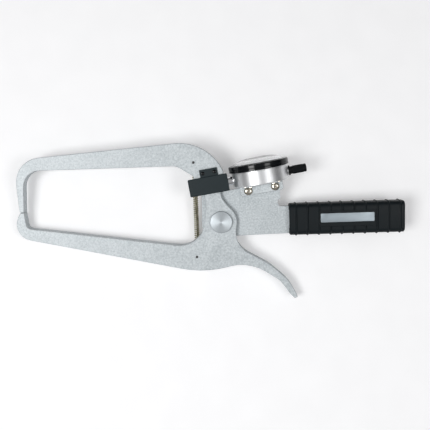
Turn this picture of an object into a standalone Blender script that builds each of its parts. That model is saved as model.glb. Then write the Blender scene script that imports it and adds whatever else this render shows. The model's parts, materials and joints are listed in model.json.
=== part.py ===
"""Dial caliper gauge: two long jaws on one pivot, closed by a spring and read by a plunger dial gauge.

Metres, +X along the grip, +Y up past the gauge, +Z out of the front face.
The jaw pivot is the Z axis and its turned cap's face is Z = 0. The jaws are closed.
"""

import math

import bmesh
import bpy
from mathutils import Matrix, Vector

# Fits
SEAT_GAP = 0.0003
FIT_GAP = 0.0001
OVERRUN = 0.002
CHORD_GAP = 0.00015
WIDEST_ARC_STEP = math.radians(30)

# Arms: one casting thickness, halved where the moving arm laps over the frame
ARM_THICKNESS = 0.010
LAP_GAP = 0.001
ARM_BEVEL = 0.0004

# Pivot
CAP_RADIUS = 0.0105
CAP_HEIGHT = 0.0022
CAP_CHAMFER = 0.0006
PIVOT_RADIUS = 0.004
BUSH_WALL = 0.0014
THRUST_WASHER_RADIUS = 0.009
THRUST_WASHER_THICKNESS = 0.0004
NUT_WIDTH = 0.013
NUT_HEIGHT = 0.0035
NUT_WASHER_RADIUS = 0.008
NUT_WASHER_THICKNESS = 0.001
THREAD_STANDOUT = 0.001

ARM_FRONT = -(CAP_HEIGHT + SEAT_GAP)
ARM_BACK = ARM_FRONT - ARM_THICKNESS
LAP_LEVEL = (ARM_FRONT + ARM_BACK) / 2
LAP_FRONT = LAP_LEVEL + LAP_GAP / 2
LAP_REAR = LAP_LEVEL - LAP_GAP / 2

# Jaws
JAW_REACH = 0.1924
JAW_LEVEL = 0.0148
TIP_WIDTH = 0.0044
TIP_CHAMFER = 0.0010
THROAT_TOP = 0.0549
UPPER_BACK_HEIGHT = 0.0656
UPPER_SHOULDER_HEIGHT = 0.0787
UPPER_INNER_RADIUS = 0.016
UPPER_OUTER_RADIUS = 0.0245
UPPER_OUTER_OVERHANG = 0.0024
SHOULDER_RADIUS = 0.046
LOWER_INNER_DROP = 0.0009
LOWER_INNER_RADIUS = 0.005
LOWER_OUTER_DROP = 0.0080
LOWER_OUTER_OVERHANG = 0.0136
LOWER_OUTER_RADIUS = 0.0155
BELLY_DROP = 0.0498
BELLY_RADIUS = 0.100
CROTCH_X = 0.028
CROTCH_DROP = 0.0238
CROTCH_RADIUS = 0.024

# Neck of the frame
NECK_LEFT = 0.0182
NECK_RIGHT = 0.0034
BOSS_LEFT = 0.0251
BOSS_BOTTOM = 0.0415
BOSS_TOP = 0.0446
INNER_SLOPE_X = 0.0410
INNER_SLOPE_RADIUS = 0.015
NECK_SHOULDER = 0.0485
SHOULDER_X = 0.0096
FRAME_FOOT = 0.0152
FRAME_FOOT_RADIUS = 0.012
PLATE_FOOT = 0.0137

# Tongue, pivot eye and trigger of the moving arm
EYE_RADIUS = 0.016
TONGUE_LEFT = 0.0156
TONGUE_WAIST = 0.0134
TONGUE_WAIST_HEIGHT = 0.015
TONGUE_SHOULDER = 0.0304
TONGUE_RIGHT = 0.0002
TONGUE_FILLET = 0.0150
LEVER_FILLET = 0.022
LAP_RADIUS = 0.0225
LEVER_LAP_DROP = 0.022
TRIGGER_REACH = 0.0724
TRIGGER_DROP = 0.0772
TRIGGER_TIP_RADIUS = 0.0014
TRIGGER_TIP_WIDTH = 0.0030
BELLY_X = 0.017
WAIST_X = 0.018
WAIST_DROP = 0.0412
WAIST_RADIUS = 0.038
LEVER_BELLY_SHARES = ((0.34, 0.150), (0.69, 0.50), (0.87, 0.89))
LEVER_KNEE_SHARES = (0.878, 0.762)
LEVER_BROW_SHARES = (0.622, 0.546)
LEVER_BROW_RADIUS = 0.040
ARMPIT_X = 0.0119
ARMPIT_DROP = 0.0232
EYE_SHOULDER = 0.0050
TONGUE_BEND = 0.0232
TONGUE_CORNER = 0.0012
TONGUE_TOP = 0.0420
TONGUE_TOP_LEFT = 0.0095
ROOT_DROP = 0.0085
ROOT_RADIUS = 0.0090
LOWER_INNER_RUN = 0.0016
PIN_HEAD_STANDOUT = 0.0025
CONTACT_PIN_RADIUS = 0.0012
CONTACT_PIN_LENGTH = 0.0070
CONTACT_HEAD_RADIUS = 0.0021

# Handle plate, tang and grip
PLATE_RIGHT = 0.0575
PLATE_CORNER = 0.0015
NOTCH_DEPTH = 0.0025
NOTCH_HEIGHT = 0.0190
NOTCH_RADIUS = 0.0028
TANG_TOP = 0.0128
TANG_HALF_HEIGHT = 0.0090
TANG_SETBACK = 0.008
GRIP_START = 0.0656
GRIP_LENGTH = 0.1096
GRIP_HALF_HEIGHT = 0.0161
GRIP_THICKNESS = 0.0185
GRIP_CORNER = 0.0055
GRIP_END_ROUND = 0.0010
RIB_COUNT = 10
RIB_FIRST = 0.0061
RIB_PITCH = 0.0110
RIB_WIDTH = 0.0021
RIB_HEIGHT = 0.0009
RIB_CREST_SHARE = 0.5
PANEL_START = 0.0280
PANEL_LENGTH = 0.0545
PANEL_HEIGHT = 0.0150
PANEL_CORNER = 0.0012
PANEL_DEPTH = 0.0004
LABEL_LENGTH = 0.0515
LABEL_HEIGHT = 0.0086
LABEL_THICKNESS = 0.0006
LABEL_CORNER = 0.0008
LABEL_RISE = 0.0010

# Return spring and its two pins
SPRING_X = 0.0246
UPPER_PIN_Y = 0.0578
LOWER_PIN_Y = 0.0335
PIN_RADIUS = 0.0012
PIN_STANDOUT = 0.0048
PIN_GROOVE = 0.0002
SPRING_RADIUS = 0.0018
SPRING_WIRE = 0.00065
SPRING_TURNS = 35
HOOK_LENGTH = 0.0064
HOOK_CLEARANCE = 0.0003
HOOK_POINTS = 12
HOOK_OPENING = math.radians(125)
HOOK_STEP = math.radians(25)
HOOK_STEM_SHARES = ((0.25, 1.35), (0, 1.9))
POINTS_PER_TURN = 8
SPRING_LEVEL = ARM_BACK - SEAT_GAP - SPRING_RADIUS - SPRING_WIRE

# Gauge: its plunger axis passes the pivot at this distance, tilted up to the right
GAUGE_TILT = math.radians(8.5)
PLUNGER_OFFSET = 0.0370
GAUGE_CENTRE = 0.0443
PLUNGER_HEIGHT = 0.0066
GAUGE_LEVEL = (ARM_FRONT + LAP_FRONT) / 2
CONTACT_STATION = 0.0020
CONTACT_LENGTH = 0.0066
CONTACT_RADIUS = 0.00225
CONTACT_ARCS = (math.radians(20), math.radians(45), math.radians(70))
CONTACT_STUD_RADIUS = 0.0010
CONTACT_STUD_LENGTH = 0.0026
PLUNGER_RADIUS = 0.0020
PLUNGER_LENGTH = 0.0757
STEM_RADIUS = 0.0040
STEM_SHOW = 0.0005
STEM_ENGAGEMENT = 0.0010
CASE_RADIUS = 0.0265
CASE_WALL = 0.0020
CASE_HEIGHT = 0.0136
CASE_ROUND = 0.0018
CASE_ROUND_SHARES = (0.5, 1)
RIM_RADIUS = 0.0255
RIM_HEIGHT = 0.0030
SHELF_WIDTH = 0.0035
SHELF_THICKNESS = 0.0009
BACK_THICKNESS = 0.0016
BACK_SCREW_CIRCLE = 0.0222
BACK_SCREW_ANGLES = (math.radians(45), math.radians(135), math.radians(225), math.radians(315))
SMALL_SCREW_RADIUS = 0.0008
SMALL_HEAD_RADIUS = 0.0016
SMALL_HEAD_HEIGHT = 0.0009
REAR_BUSH_LENGTH = 0.0075
REAR_BUSH_NECK_RADIUS = 0.0029
CAP_TUBE_CLEARANCE = 0.0028
CAP_TUBE_RADIUS = 0.0040
CAP_TUBE_WALL = 0.0011
CAP_TUBE_FLANGE = 0.0048
CAP_TUBE_FLANGE_WIDTH = 0.0016

# Gauge movement
RACK_PITCH = 0.000625
PINION_TEETH = 16
WHEEL_TEETH = 80
WHEEL_WINDOWS = 4
CENTRE_TEETH = 8
TRAIN_MODULE = 0.00025
ADDENDUM = 0.00012
DEDENDUM = 0.00026
RACK_FACE = 0.0016
RACK_MARGIN_TEETH = 3
ARBOR_RADIUS = 0.0006
ARBOR_BOSS_RADIUS = 0.0018
PINION_LENGTH = 0.0020
WHEEL_THICKNESS = 0.0005
WHEEL_LEVEL = 0.0106
PLATE_LEVEL = 0.0090
PLATE_THICKNESS = 0.0008
BRIDGE_LEVEL = 0.0126
BRIDGE_THICKNESS = 0.0007
BRIDGE_RADIUS = 0.0150
PILLAR_CIRCLE = 0.0130
PILLAR_RADIUS = 0.0012
PILLAR_ANGLES = (math.radians(73), math.radians(235), math.radians(271))
HAIRSPRING_TURNS = 3
HAIRSPRING_INNER = 0.0013
HAIRSPRING_PITCH = 0.0008
HAIRSPRING_THICKNESS = 0.00025
HAIRSPRING_WIDTH = 0.0006
GUIDE_PIN_STATION = 0.0150
GUIDE_PIN_RADIUS = 0.0007
GUIDE_PIN_LENGTH = 0.0075
GUIDE_THICKNESS = 0.0012
GUIDE_MARGIN = 0.0022
PLUNGER_TRAVEL = 0.0100
POST_STATION = 0.0185
POST_OFFSET = 0.0050
POST_RADIUS = 0.0008
PLUNGER_SPRING_RADIUS = 0.0011
PLUNGER_SPRING_WIRE = 0.0004
PLUNGER_SPRING_TURNS = 8

# Gauge face
DIAL_LEVEL = 0.0142
DIAL_THICKNESS = 0.0005
DIAL_FACE_RADIUS = 0.0160
DIAL_RING_RADIUS = 0.0236
DIAL_RING_LIP = 0.0007
BEZEL_RADIUS = 0.0286
BEZEL_HEIGHT = 0.0060
BEZEL_CHAMFER = 0.0009
BEZEL_OPENING = 0.0249
CRYSTAL_RISE = 0.0053
CRYSTAL_RIM = 0.0016
CRYSTAL_THICKNESS = 0.0011
CRYSTAL_SHARES = (0.35, 0.7)
CRYSTAL_SIDE_POWER = 0.8
CRYSTAL_TOP_POWER = 0.9
POINTER_LENGTH = 0.0205
POINTER_TAIL = 0.0060
POINTER_HUB = 0.0017
POINTER_WIDTH = 0.0010
HUB_STEPS = 10
POINTER_THICKNESS = 0.0004
POINTER_LEVEL = 0.0162
COUNTER_LENGTH = 0.0042
COUNTER_TAIL = 0.0014
COUNTER_HUB = 0.0012
COUNTER_WIDTH = 0.0007
COUNTER_LEVEL = 0.0151

# Hood over the plunger tip
HOOD_LEFT = 0.0243
HOOD_RIGHT = 0.0136
HOOD_HALF_HEIGHT = 0.0083
HOOD_SHEET = 0.0010
HOOD_CORNER = 0.0010
HOOD_FLAP = 0.0042
TAB_CENTRE = 0.0033
TAB_WIDTH = 0.0170
TAB_HEIGHT = 0.0073
TAB_SCREW_SPACING = 0.0112
TAB_SCREW_RADIUS = 0.0010
TAB_HEAD_RADIUS = 0.0018
TAB_HEAD_HEIGHT = 0.0009
TAB_SCREW_DEPTH = 0.0045

# Bracket between the handle plate and the gauge's back
BRACKET_CENTRE = 0.0438
BRACKET_LENGTH = 0.0414
BRACKET_THICKNESS = 0.0025
BRACKET_DROP = 0.0100
BRACKET_CORNER = 0.0022
SEAT_LENGTH = 0.0380
SEAT_WIDTH = 0.0200
SEAT_THICKNESS = 0.0015
BRACKET_SCREW_SPACING = 0.0260
BRACKET_SCREW_DROP = 0.0056
M4_RADIUS = 0.0020
M4_HEAD_RADIUS = 0.0038
M4_HEAD_HEIGHT = 0.0026
M4_HEAD_SHARES = ((1, 0.45), (0.8, 0.82), (0.45, 1))
M4_CROSS_WIDTH = 0.0010
M4_CROSS_LENGTH = 0.0044
M4_CROSS_DEPTH = 0.0014
LUG_SCREW_SPACING = 0.0220
LUG_SCREW_OFFSET = 0.0055
LUG_SCREW_RADIUS = 0.0012
LUG_HEAD_RADIUS = 0.0022
LUG_HEAD_HEIGHT = 0.0013

# Sides of turned pieces
MANY_SIDES = 36
MORE_SIDES = 24
FEW_SIDES = 12

# Finishes: colour, roughness, metallic
FINISHES = {
    "cast_alloy": ((0.60, 0.63, 0.65), 0.42, 0.75),
    "turned_steel": ((0.62, 0.65, 0.68), 0.28, 1.0),
    "nickel": ((0.66, 0.67, 0.68), 0.20, 1.0),
    "chrome": ((0.72, 0.73, 0.74), 0.10, 1.0),
    "bronze": ((0.48, 0.33, 0.16), 0.40, 1.0),
    "brass": ((0.68, 0.53, 0.25), 0.32, 1.0),
    "spring_wire": ((0.34, 0.32, 0.22), 0.38, 1.0),
    "black_sheet": ((0.028, 0.036, 0.041), 0.45, 0.0),
    "black_gloss": ((0.010, 0.012, 0.014), 0.16, 0.0),
    "black_rubber": ((0.014, 0.020, 0.023), 0.62, 0.0),
    "label_alloy": ((0.78, 0.79, 0.79), 0.40, 0.6),
    "dial_white": ((0.85, 0.85, 0.83), 0.45, 0.0),
    "crystal_clear": ((0.95, 0.96, 0.97), 0.06, 0.0),
    "pointer_black": ((0.010, 0.010, 0.011), 0.35, 0.0),
}


def along(station, offset):
    """The point this far along the plunger axis and this far across it, from the pivot."""
    cos, sin = math.cos(GAUGE_TILT), math.sin(GAUGE_TILT)
    return (station * cos - offset * sin, station * sin + offset * cos)


def rounded(corners, chord_gap=CHORD_GAP):
    """An outline through the corners (x, y, fillet radius). Each fillet is an arc of even steps."""
    outline = []
    for index, (x, y, radius) in enumerate(corners):
        corner = Vector((x, y))
        before = (Vector(corners[index - 1][:2]) - corner).normalized()
        after = (Vector(corners[(index + 1) % len(corners)][:2]) - corner).normalized()
        half = before.angle(after) / 2
        turn = math.pi - 2 * half
        if radius <= 0 or turn < math.radians(1):
            outline.append((x, y))
            continue
        centre = corner + (before + after).normalized() * (radius / math.sin(half))
        start = corner + before * (radius / math.tan(half)) - centre
        side = 1 if before.x * after.y - before.y * after.x < 0 else -1
        arc_step = min(WIDEST_ARC_STEP, 2 * math.acos(1 - min(1, chord_gap / radius)))
        steps = math.ceil(0.99 * turn / arc_step)
        for step in range(steps + 1):
            spoke = start.copy()
            spoke.rotate(Matrix.Rotation(side * turn * step / steps, 2))
            outline.append(tuple(centre + spoke))
    return outline


def circle(radius, sides, centre=(0, 0)):
    angles = [math.tau * step / sides for step in range(sides)]
    return [(centre[0] + radius * math.cos(a), centre[1] + radius * math.sin(a)) for a in angles]


def rectangle(low, high, radius=0):
    (left, bottom), (right, top) = low, high
    corners = ((left, bottom), (right, bottom), (right, top), (left, top))
    return rounded([(x, y, radius) for x, y in corners])


def slab(outline, low, high, bevel=0):
    """A plate of this outline between two levels, with its rims bevelled."""
    mesh = bmesh.new()
    face = mesh.faces.new([mesh.verts.new((x, y, low)) for x, y in outline])
    raised = bmesh.ops.extrude_face_region(mesh, geom=[face])["geom"]
    lifted = [v for v in raised if isinstance(v, bmesh.types.BMVert)]
    bmesh.ops.translate(mesh, verts=lifted, vec=(0, 0, high - low))
    if bevel:
        rims = [edge for edge in mesh.edges if abs(edge.verts[0].co.z - edge.verts[1].co.z) < bevel]
        bmesh.ops.bevel(mesh, geom=rims, offset=bevel, segments=1, profile=0.5, affect="EDGES")
    bmesh.ops.recalc_face_normals(mesh, faces=mesh.faces)
    return mesh


def turned(profile, sides, ring=False):
    """A piece turned about Z from (radius, level) points. A ring's profile closes on itself."""
    mesh = bmesh.new()
    rows = []
    for radius, level in profile:
        around = [(0, 0)] if radius == 0 else circle(radius, sides)
        rows.append([mesh.verts.new((x, y, level)) for x, y in around])
    pairs = list(zip(rows, rows[1:])) + ([(rows[-1], rows[0])] if ring else [])
    for lower, upper in pairs:
        for step in range(sides):
            after = (step + 1) % sides
            corners = [lower[step % len(lower)], lower[after % len(lower)], upper[after % len(upper)]]
            corners.append(upper[step % len(upper)])
            mesh.faces.new(list(dict.fromkeys(corners)))
    if not ring:
        for row in (rows[0], rows[-1]):
            if len(row) > 1:
                mesh.faces.new(row)
    bmesh.ops.recalc_face_normals(mesh, faces=mesh.faces)
    return mesh


def tube(inner, outer, low, high, sides):
    return turned([(inner, low), (outer, low), (outer, high), (inner, high)], sides, ring=True)


def rod(radius, low, high, sides, bevel=0):
    if not bevel:
        return turned([(radius, low), (radius, high)], sides)
    ends = [(radius - bevel, low), (radius, low + bevel), (radius, high - bevel), (radius - bevel, high)]
    return turned(ends, sides)


def toothed(teeth, root, tip, first_tip):
    """The outline of a gear with one point at each tooth's tip and one between teeth."""
    outline = []
    for tooth in range(teeth):
        for radius, shift in ((tip, 0), (root, 0.5)):
            angle = first_tip + math.tau * (tooth + shift) / teeth
            outline.append((radius * math.cos(angle), radius * math.sin(angle)))
    return outline


def stack(sections):
    """A closed body lofted through (outline, level) sections that have equally many points."""
    mesh = bmesh.new()
    rows = [[mesh.verts.new((x, y, level)) for x, y in outline] for outline, level in sections]
    for lower, upper in zip(rows, rows[1:]):
        for step in range(len(lower)):
            after = (step + 1) % len(lower)
            mesh.faces.new((lower[step], lower[after], upper[after], upper[step]))
    mesh.faces.new(rows[0])
    mesh.faces.new(rows[-1])
    bmesh.ops.recalc_face_normals(mesh, faces=mesh.faces)
    return mesh


def material_for(name, finish):
    colour, roughness, metallic = FINISHES[finish]
    material = bpy.data.materials.new(name + "_finish")
    material.use_nodes = True
    shader = material.node_tree.nodes["Principled BSDF"]
    shader.inputs["Base Color"].default_value = (*colour, 1)
    shader.inputs["Roughness"].default_value = roughness
    shader.inputs["Metallic"].default_value = metallic
    return material


def place(name, mesh, finish=None, parent=None, at=(0, 0, 0), turn=None):
    """An object from the mesh. Without a finish it is a hidden cutter."""
    data = bpy.data.meshes.new(name)
    mesh.to_mesh(data)
    mesh.free()
    obj = bpy.data.objects.new(name, data)
    bpy.context.collection.objects.link(obj)
    obj.parent = parent
    obj.matrix_local = Matrix.Translation(at) @ (turn or Matrix()).to_4x4()
    if finish:
        data.materials.append(material_for(name, finish))
        data.shade_smooth()
        data.set_sharp_from_angle(angle=math.radians(30))
    else:
        obj.hide_render = True
        obj.display_type = "WIRE"
    return obj


def combine(obj, tool, operation="DIFFERENCE"):
    modifier = obj.modifiers.new(tool.name, "BOOLEAN")
    modifier.operation = operation
    modifier.object = tool
    modifier.solver = "EXACT"


def cut(obj, name, mesh, at=(0, 0, 0), turn=None):
    """Cuts the mesh, placed in the object's own parent frame, from the object."""
    combine(obj, place(name, mesh, parent=obj.parent, at=at, turn=turn))


def join(obj, name, mesh, at=(0, 0, 0), turn=None):
    combine(obj, place(name, mesh, parent=obj.parent, at=at, turn=turn), "UNION")


def empty(name, matrix, parent=None):
    obj = bpy.data.objects.new(name, None)
    bpy.context.collection.objects.link(obj)
    obj.parent = parent
    obj.matrix_local = matrix
    return obj


ALONG_X = Matrix.Rotation(math.pi / 2, 3, "Y")
ALONG_MINUS_Y = Matrix.Rotation(math.pi / 2, 3, "X")
TILTED = Matrix.Rotation(GAUGE_TILT, 3, "Z")


def wire(name, points, radius, finish, parent=None):
    """One unbroken wire through the points, with its ends closed."""
    curve = bpy.data.curves.new(name, "CURVE")
    curve.dimensions = "3D"
    spline = curve.splines.new("POLY")
    spline.points.add(len(points) - 1)
    for spot, point in zip(spline.points, points):
        spot.co = (*point, 1)
    curve.bevel_depth = radius
    curve.bevel_resolution = 1
    curve.use_fill_caps = True
    curve.materials.append(material_for(name, finish))
    obj = bpy.data.objects.new(name, curve)
    bpy.context.collection.objects.link(obj)
    obj.parent = parent
    return obj


def coil(length, radius, turns):
    """Points of a coil along +X from the origin, whose ends come in to its axis over half a turn."""
    points = []
    steps = turns * POINTS_PER_TURN
    for step in range(steps + 1):
        share = min(1, 2 * step / POINTS_PER_TURN, 2 * (steps - step) / POINTS_PER_TURN)
        angle = math.tau * step / POINTS_PER_TURN
        reach = radius * share
        points.append(Vector((length * step / steps, reach * math.cos(angle), reach * math.sin(angle))))
    return points


def least_gap(points, wire_width):
    """The least gap between stretches of a wire that are not neighbours along it."""
    skip = POINTS_PER_TURN // 2
    gaps = []
    for index, point in enumerate(points):
        others = points[index + skip :]
        gaps += [(point - other).length for other in others]
    return min(gaps) - wire_width


def frame_corners():
    """The frame: jaw tip, inner edge, neck, foot, tang, handle plate, shoulder and the jaw's back."""
    inside = -(JAW_REACH - TIP_WIDTH / 2)
    outside = -(JAW_REACH + TIP_WIDTH / 2)
    tip = JAW_LEVEL + SEAT_GAP / 2
    plate_top = PLUNGER_OFFSET - PLUNGER_HEIGHT - SEAT_THICKNESS - 2 * SEAT_GAP
    slope = math.tan(GAUGE_TILT)
    level = plate_top / math.cos(GAUGE_TILT)
    tang_end = GRIP_START + GRIP_LENGTH - TANG_SETBACK
    tang_start = GRIP_START - SEAT_GAP
    notch = PLATE_RIGHT - NOTCH_DEPTH
    return [
        (outside + TIP_CHAMFER, tip, 0),
        (inside, tip, 0),
        (inside + TIP_WIDTH / 2, THROAT_TOP, UPPER_INNER_RADIUS),
        (-INNER_SLOPE_X, THROAT_TOP, INNER_SLOPE_RADIUS),
        (-BOSS_LEFT, BOSS_TOP, 0),
        (-BOSS_LEFT, BOSS_BOTTOM, 0),
        (-NECK_LEFT, BOSS_BOTTOM, 0),
        (-NECK_LEFT, EYE_RADIUS, 0),
        (-(NECK_LEFT + TIP_CHAMFER), -FRAME_FOOT, FRAME_FOOT_RADIUS),
        (tang_start, -PLATE_FOOT, 0),
        (tang_start, -TANG_HALF_HEIGHT, 0),
        (tang_end, -TANG_HALF_HEIGHT, NOTCH_RADIUS),
        (tang_end, TANG_HALF_HEIGHT, NOTCH_RADIUS),
        (tang_start, TANG_HALF_HEIGHT, 0),
        (tang_start, TANG_TOP, 0),
        (notch, TANG_TOP, NOTCH_RADIUS),
        (notch, NOTCH_HEIGHT, NOTCH_DEPTH / 2),
        (PLATE_RIGHT, NOTCH_HEIGHT + NOTCH_DEPTH / 2, NOTCH_DEPTH / 2),
        (PLATE_RIGHT, level + slope * PLATE_RIGHT, PLATE_CORNER),
        (NECK_RIGHT, level + slope * NECK_RIGHT, NOTCH_RADIUS),
        (NECK_RIGHT, NECK_SHOULDER, 0),
        (-SHOULDER_X, UPPER_SHOULDER_HEIGHT, SHOULDER_RADIUS),
        (outside - UPPER_OUTER_OVERHANG, UPPER_BACK_HEIGHT, UPPER_OUTER_RADIUS),
        (outside, tip + TIP_CHAMFER, 0),
    ]


def moving_arm_corners():
    """The moving arm: jaw tip, its back, the belly, the trigger, the eye, the tongue and the inner edge."""
    inside = -(JAW_REACH - TIP_WIDTH / 2)
    outside = -(JAW_REACH + TIP_WIDTH / 2)
    tip = JAW_LEVEL - SEAT_GAP / 2
    heel = outside - LOWER_OUTER_OVERHANG + TIP_WIDTH / 2
    station = CONTACT_STATION - PIN_HEAD_STANDOUT
    reach, drop = TRIGGER_REACH, TRIGGER_DROP
    run, fall = reach - WAIST_X, drop - WAIST_DROP
    belly = [(WAIST_X + across * run, -(WAIST_DROP + down * fall)) for across, down in LEVER_BELLY_SHARES]
    return [
        (outside + TIP_CHAMFER, tip, 0),
        (outside, tip - TIP_CHAMFER, 0),
        (heel, -LOWER_OUTER_DROP, LOWER_OUTER_RADIUS),
        (-BELLY_X, -BELLY_DROP, BELLY_RADIUS),
        (WAIST_X, -WAIST_DROP, WAIST_RADIUS),
        (*belly[0], WAIST_RADIUS),
        (*belly[1], LEVER_FILLET),
        (*belly[2], LEVER_FILLET),
        (reach - TRIGGER_TIP_WIDTH, -drop, TRIGGER_TIP_RADIUS),
        (reach, -(drop - TRIGGER_TIP_WIDTH / 2), TRIGGER_TIP_RADIUS),
        (LEVER_KNEE_SHARES[0] * reach, -LEVER_KNEE_SHARES[1] * drop, LEVER_BROW_RADIUS),
        (LEVER_BROW_SHARES[0] * reach, -LEVER_BROW_SHARES[1] * drop, LEVER_BROW_RADIUS),
        (ARMPIT_X, -ARMPIT_DROP, LEVER_FILLET),
        (EYE_RADIUS, EYE_SHOULDER, EYE_RADIUS),
        (TONGUE_RIGHT, TONGUE_BEND, TONGUE_FILLET),
        (TONGUE_RIGHT, TONGUE_SHOULDER, TONGUE_CORNER),
        (along(station, TONGUE_SHOULDER)[0], TONGUE_SHOULDER, TONGUE_CORNER),
        (*along(station, TONGUE_TOP), TONGUE_CORNER),
        (*along(-TONGUE_TOP_LEFT, TONGUE_TOP), TONGUE_CORNER),
        (-TONGUE_LEFT, TONGUE_SHOULDER, 0),
        (-TONGUE_WAIST, TONGUE_WAIST_HEIGHT, LEVER_FILLET),
        (-NECK_LEFT, -ROOT_DROP, ROOT_RADIUS),
        (-CROTCH_X, -CROTCH_DROP, CROTCH_RADIUS),
        (inside + LOWER_INNER_RUN, -LOWER_INNER_DROP, LOWER_INNER_RADIUS),
        (inside, tip, 0),
    ]


def make_frame():
    body = slab(rounded(frame_corners()), ARM_BACK, ARM_FRONT, ARM_BEVEL)
    frame = place("fixed_frame", body, "cast_alloy")
    front_high = ARM_FRONT + OVERRUN
    left, right = -(HOOD_LEFT + OVERRUN), GRIP_START + GRIP_LENGTH
    lap = rectangle((left, -JAW_REACH), (right, PLUNGER_OFFSET + HOOD_HALF_HEIGHT - HOOD_SHEET))
    cut(frame, "frame_lap_cutter", slab(lap, LAP_REAR, front_high), turn=TILTED)
    bore = PIVOT_RADIUS + FIT_GAP
    cut(frame, "frame_pivot_cutter", rod(bore, ARM_BACK - OVERRUN, LAP_FRONT, MORE_SIDES))
    pin_hole = rod(PIN_RADIUS + FIT_GAP, ARM_BACK - OVERRUN, front_high, FEW_SIDES)
    cut(frame, "frame_pin_cutter", pin_hole, at=(-SPRING_X, UPPER_PIN_Y, 0))
    for side in (-1, 1):
        x, y = tab_screw_spot(side)
        hole = rod(TAB_SCREW_RADIUS + FIT_GAP, ARM_FRONT - TAB_SCREW_DEPTH, front_high, FEW_SIDES)
        cut(frame, "tab_hole_cutter", hole, at=(x, y, 0))
        x, y = along(BRACKET_CENTRE + side * BRACKET_SCREW_SPACING / 2, bracket_screw_offset())
        hole = rod(M4_RADIUS + FIT_GAP, ARM_BACK - OVERRUN, LAP_FRONT, FEW_SIDES)
        cut(frame, "bracket_hole_cutter", hole, at=(x, y, 0))
    return frame


def make_moving_arm(hinge):
    body = slab(rounded(moving_arm_corners()), ARM_BACK, ARM_FRONT, ARM_BEVEL)
    arm = place("moving_arm", body, "cast_alloy", hinge)
    rear = ARM_BACK - OVERRUN
    cut(arm, "arm_lap_cutter", rod(LAP_RADIUS, rear, LAP_FRONT, MANY_SIDES))
    lever_lap = rectangle((-NECK_LEFT, -LEVER_LAP_DROP), (TRIGGER_REACH, JAW_REACH))
    cut(arm, "lever_lap_cutter", slab(lever_lap, rear, LAP_FRONT))
    eye = PIVOT_RADIUS + 2 * FIT_GAP + BUSH_WALL
    cut(arm, "arm_pivot_cutter", rod(eye, rear, ARM_FRONT + OVERRUN, MORE_SIDES))
    pin_hole = rod(PIN_RADIUS + FIT_GAP, rear, ARM_FRONT + OVERRUN, FEW_SIDES)
    cut(arm, "arm_pin_cutter", pin_hole, at=(-SPRING_X, -LOWER_PIN_Y, 0))
    station = CONTACT_STATION - PIN_HEAD_STANDOUT
    hole = rod(CONTACT_PIN_RADIUS + FIT_GAP, -CONTACT_PIN_LENGTH, OVERRUN, FEW_SIDES)
    x, y = along(station, PLUNGER_OFFSET)
    cut(arm, "contact_pin_cutter", hole, at=(x, y, GAUGE_LEVEL), turn=TILTED @ ALONG_X)
    return arm


def make_pivot(hinge):
    chamfered = [(CAP_RADIUS, -CAP_HEIGHT), (CAP_RADIUS, -CAP_CHAMFER), (CAP_RADIUS - CAP_CHAMFER, 0)]
    washer_top = ARM_BACK - SEAT_GAP
    nut_top = washer_top - NUT_WASHER_THICKNESS - SEAT_GAP
    end = nut_top - NUT_HEIGHT - THREAD_STANDOUT
    shank = [(PIVOT_RADIUS, end), (PIVOT_RADIUS, -CAP_HEIGHT)]
    place("pivot_screw", turned(shank + chamfered, MANY_SIDES), "turned_steel")
    bore = PIVOT_RADIUS + FIT_GAP
    bush = tube(bore, bore + BUSH_WALL, LAP_FRONT, ARM_FRONT, MORE_SIDES)
    place("pivot_bush", bush, "bronze", hinge)
    half = THRUST_WASHER_THICKNESS / 2
    thrust = tube(bore, THRUST_WASHER_RADIUS, LAP_LEVEL - half, LAP_LEVEL + half, MORE_SIDES)
    place("thrust_washer", thrust, "bronze")
    washer = tube(bore, NUT_WASHER_RADIUS, washer_top - NUT_WASHER_THICKNESS, washer_top, MORE_SIDES)
    place("nut_washer", washer, "nickel")
    hexagon = circle(NUT_WIDTH / 2 / math.cos(math.pi / 6), 6)
    nut = place("pivot_nut", slab(hexagon, nut_top - NUT_HEIGHT, nut_top, ARM_BEVEL), "nickel")
    cut(nut, "nut_bore_cutter", rod(bore, end, 0, MORE_SIDES))


def make_spring_pin(name, y, parent):
    groove = PIN_RADIUS - PIN_GROOVE
    end = ARM_BACK - PIN_STANDOUT
    waist = SPRING_WIRE + 2 * SEAT_GAP
    profile = [(PIN_RADIUS, end), (PIN_RADIUS, SPRING_LEVEL - waist), (groove, SPRING_LEVEL - waist / 2)]
    profile += [(groove, SPRING_LEVEL + waist / 2), (PIN_RADIUS, SPRING_LEVEL + waist)]
    profile += [(PIN_RADIUS, ARM_FRONT)]
    place(name, turned(profile, FEW_SIDES), "turned_steel", parent, at=(-SPRING_X, y, 0))


def hook(radius):
    """Points of a hook round a pin at the origin, from its open end to its stem on the -Y side."""
    turns = [-(HOOK_OPENING + HOOK_STEP * step) for step in range(HOOK_POINTS)]
    loop = [Vector((radius * math.cos(angle), radius * math.sin(angle), 0)) for angle in turns]
    return loop + [Vector((across * radius, -down * radius, 0)) for across, down in HOOK_STEM_SHARES]


def make_return_spring():
    """The visible spring: a hook on each pin and a close coil between them, along -Y behind the arms."""
    span = UPPER_PIN_Y + LOWER_PIN_Y
    radius = PIN_RADIUS + SPRING_WIRE + HOOK_CLEARANCE
    body = coil(span - 2 * HOOK_LENGTH, SPRING_RADIUS, SPRING_TURNS)
    upper = hook(radius)
    lower = [Vector((-point.x, -span - point.y, 0)) for point in reversed(upper)]
    turns = [Vector((point.y, -HOOK_LENGTH - point.x, point.z)) for point in body]
    path = upper + turns + lower
    print(f"return_spring: least gap to itself {least_gap(path, 2 * SPRING_WIRE) * 1000:.2f} mm")
    points = [point + Vector((-SPRING_X, UPPER_PIN_Y, SPRING_LEVEL)) for point in path]
    wire("return_spring", points, SPRING_WIRE, "spring_wire")


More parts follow.
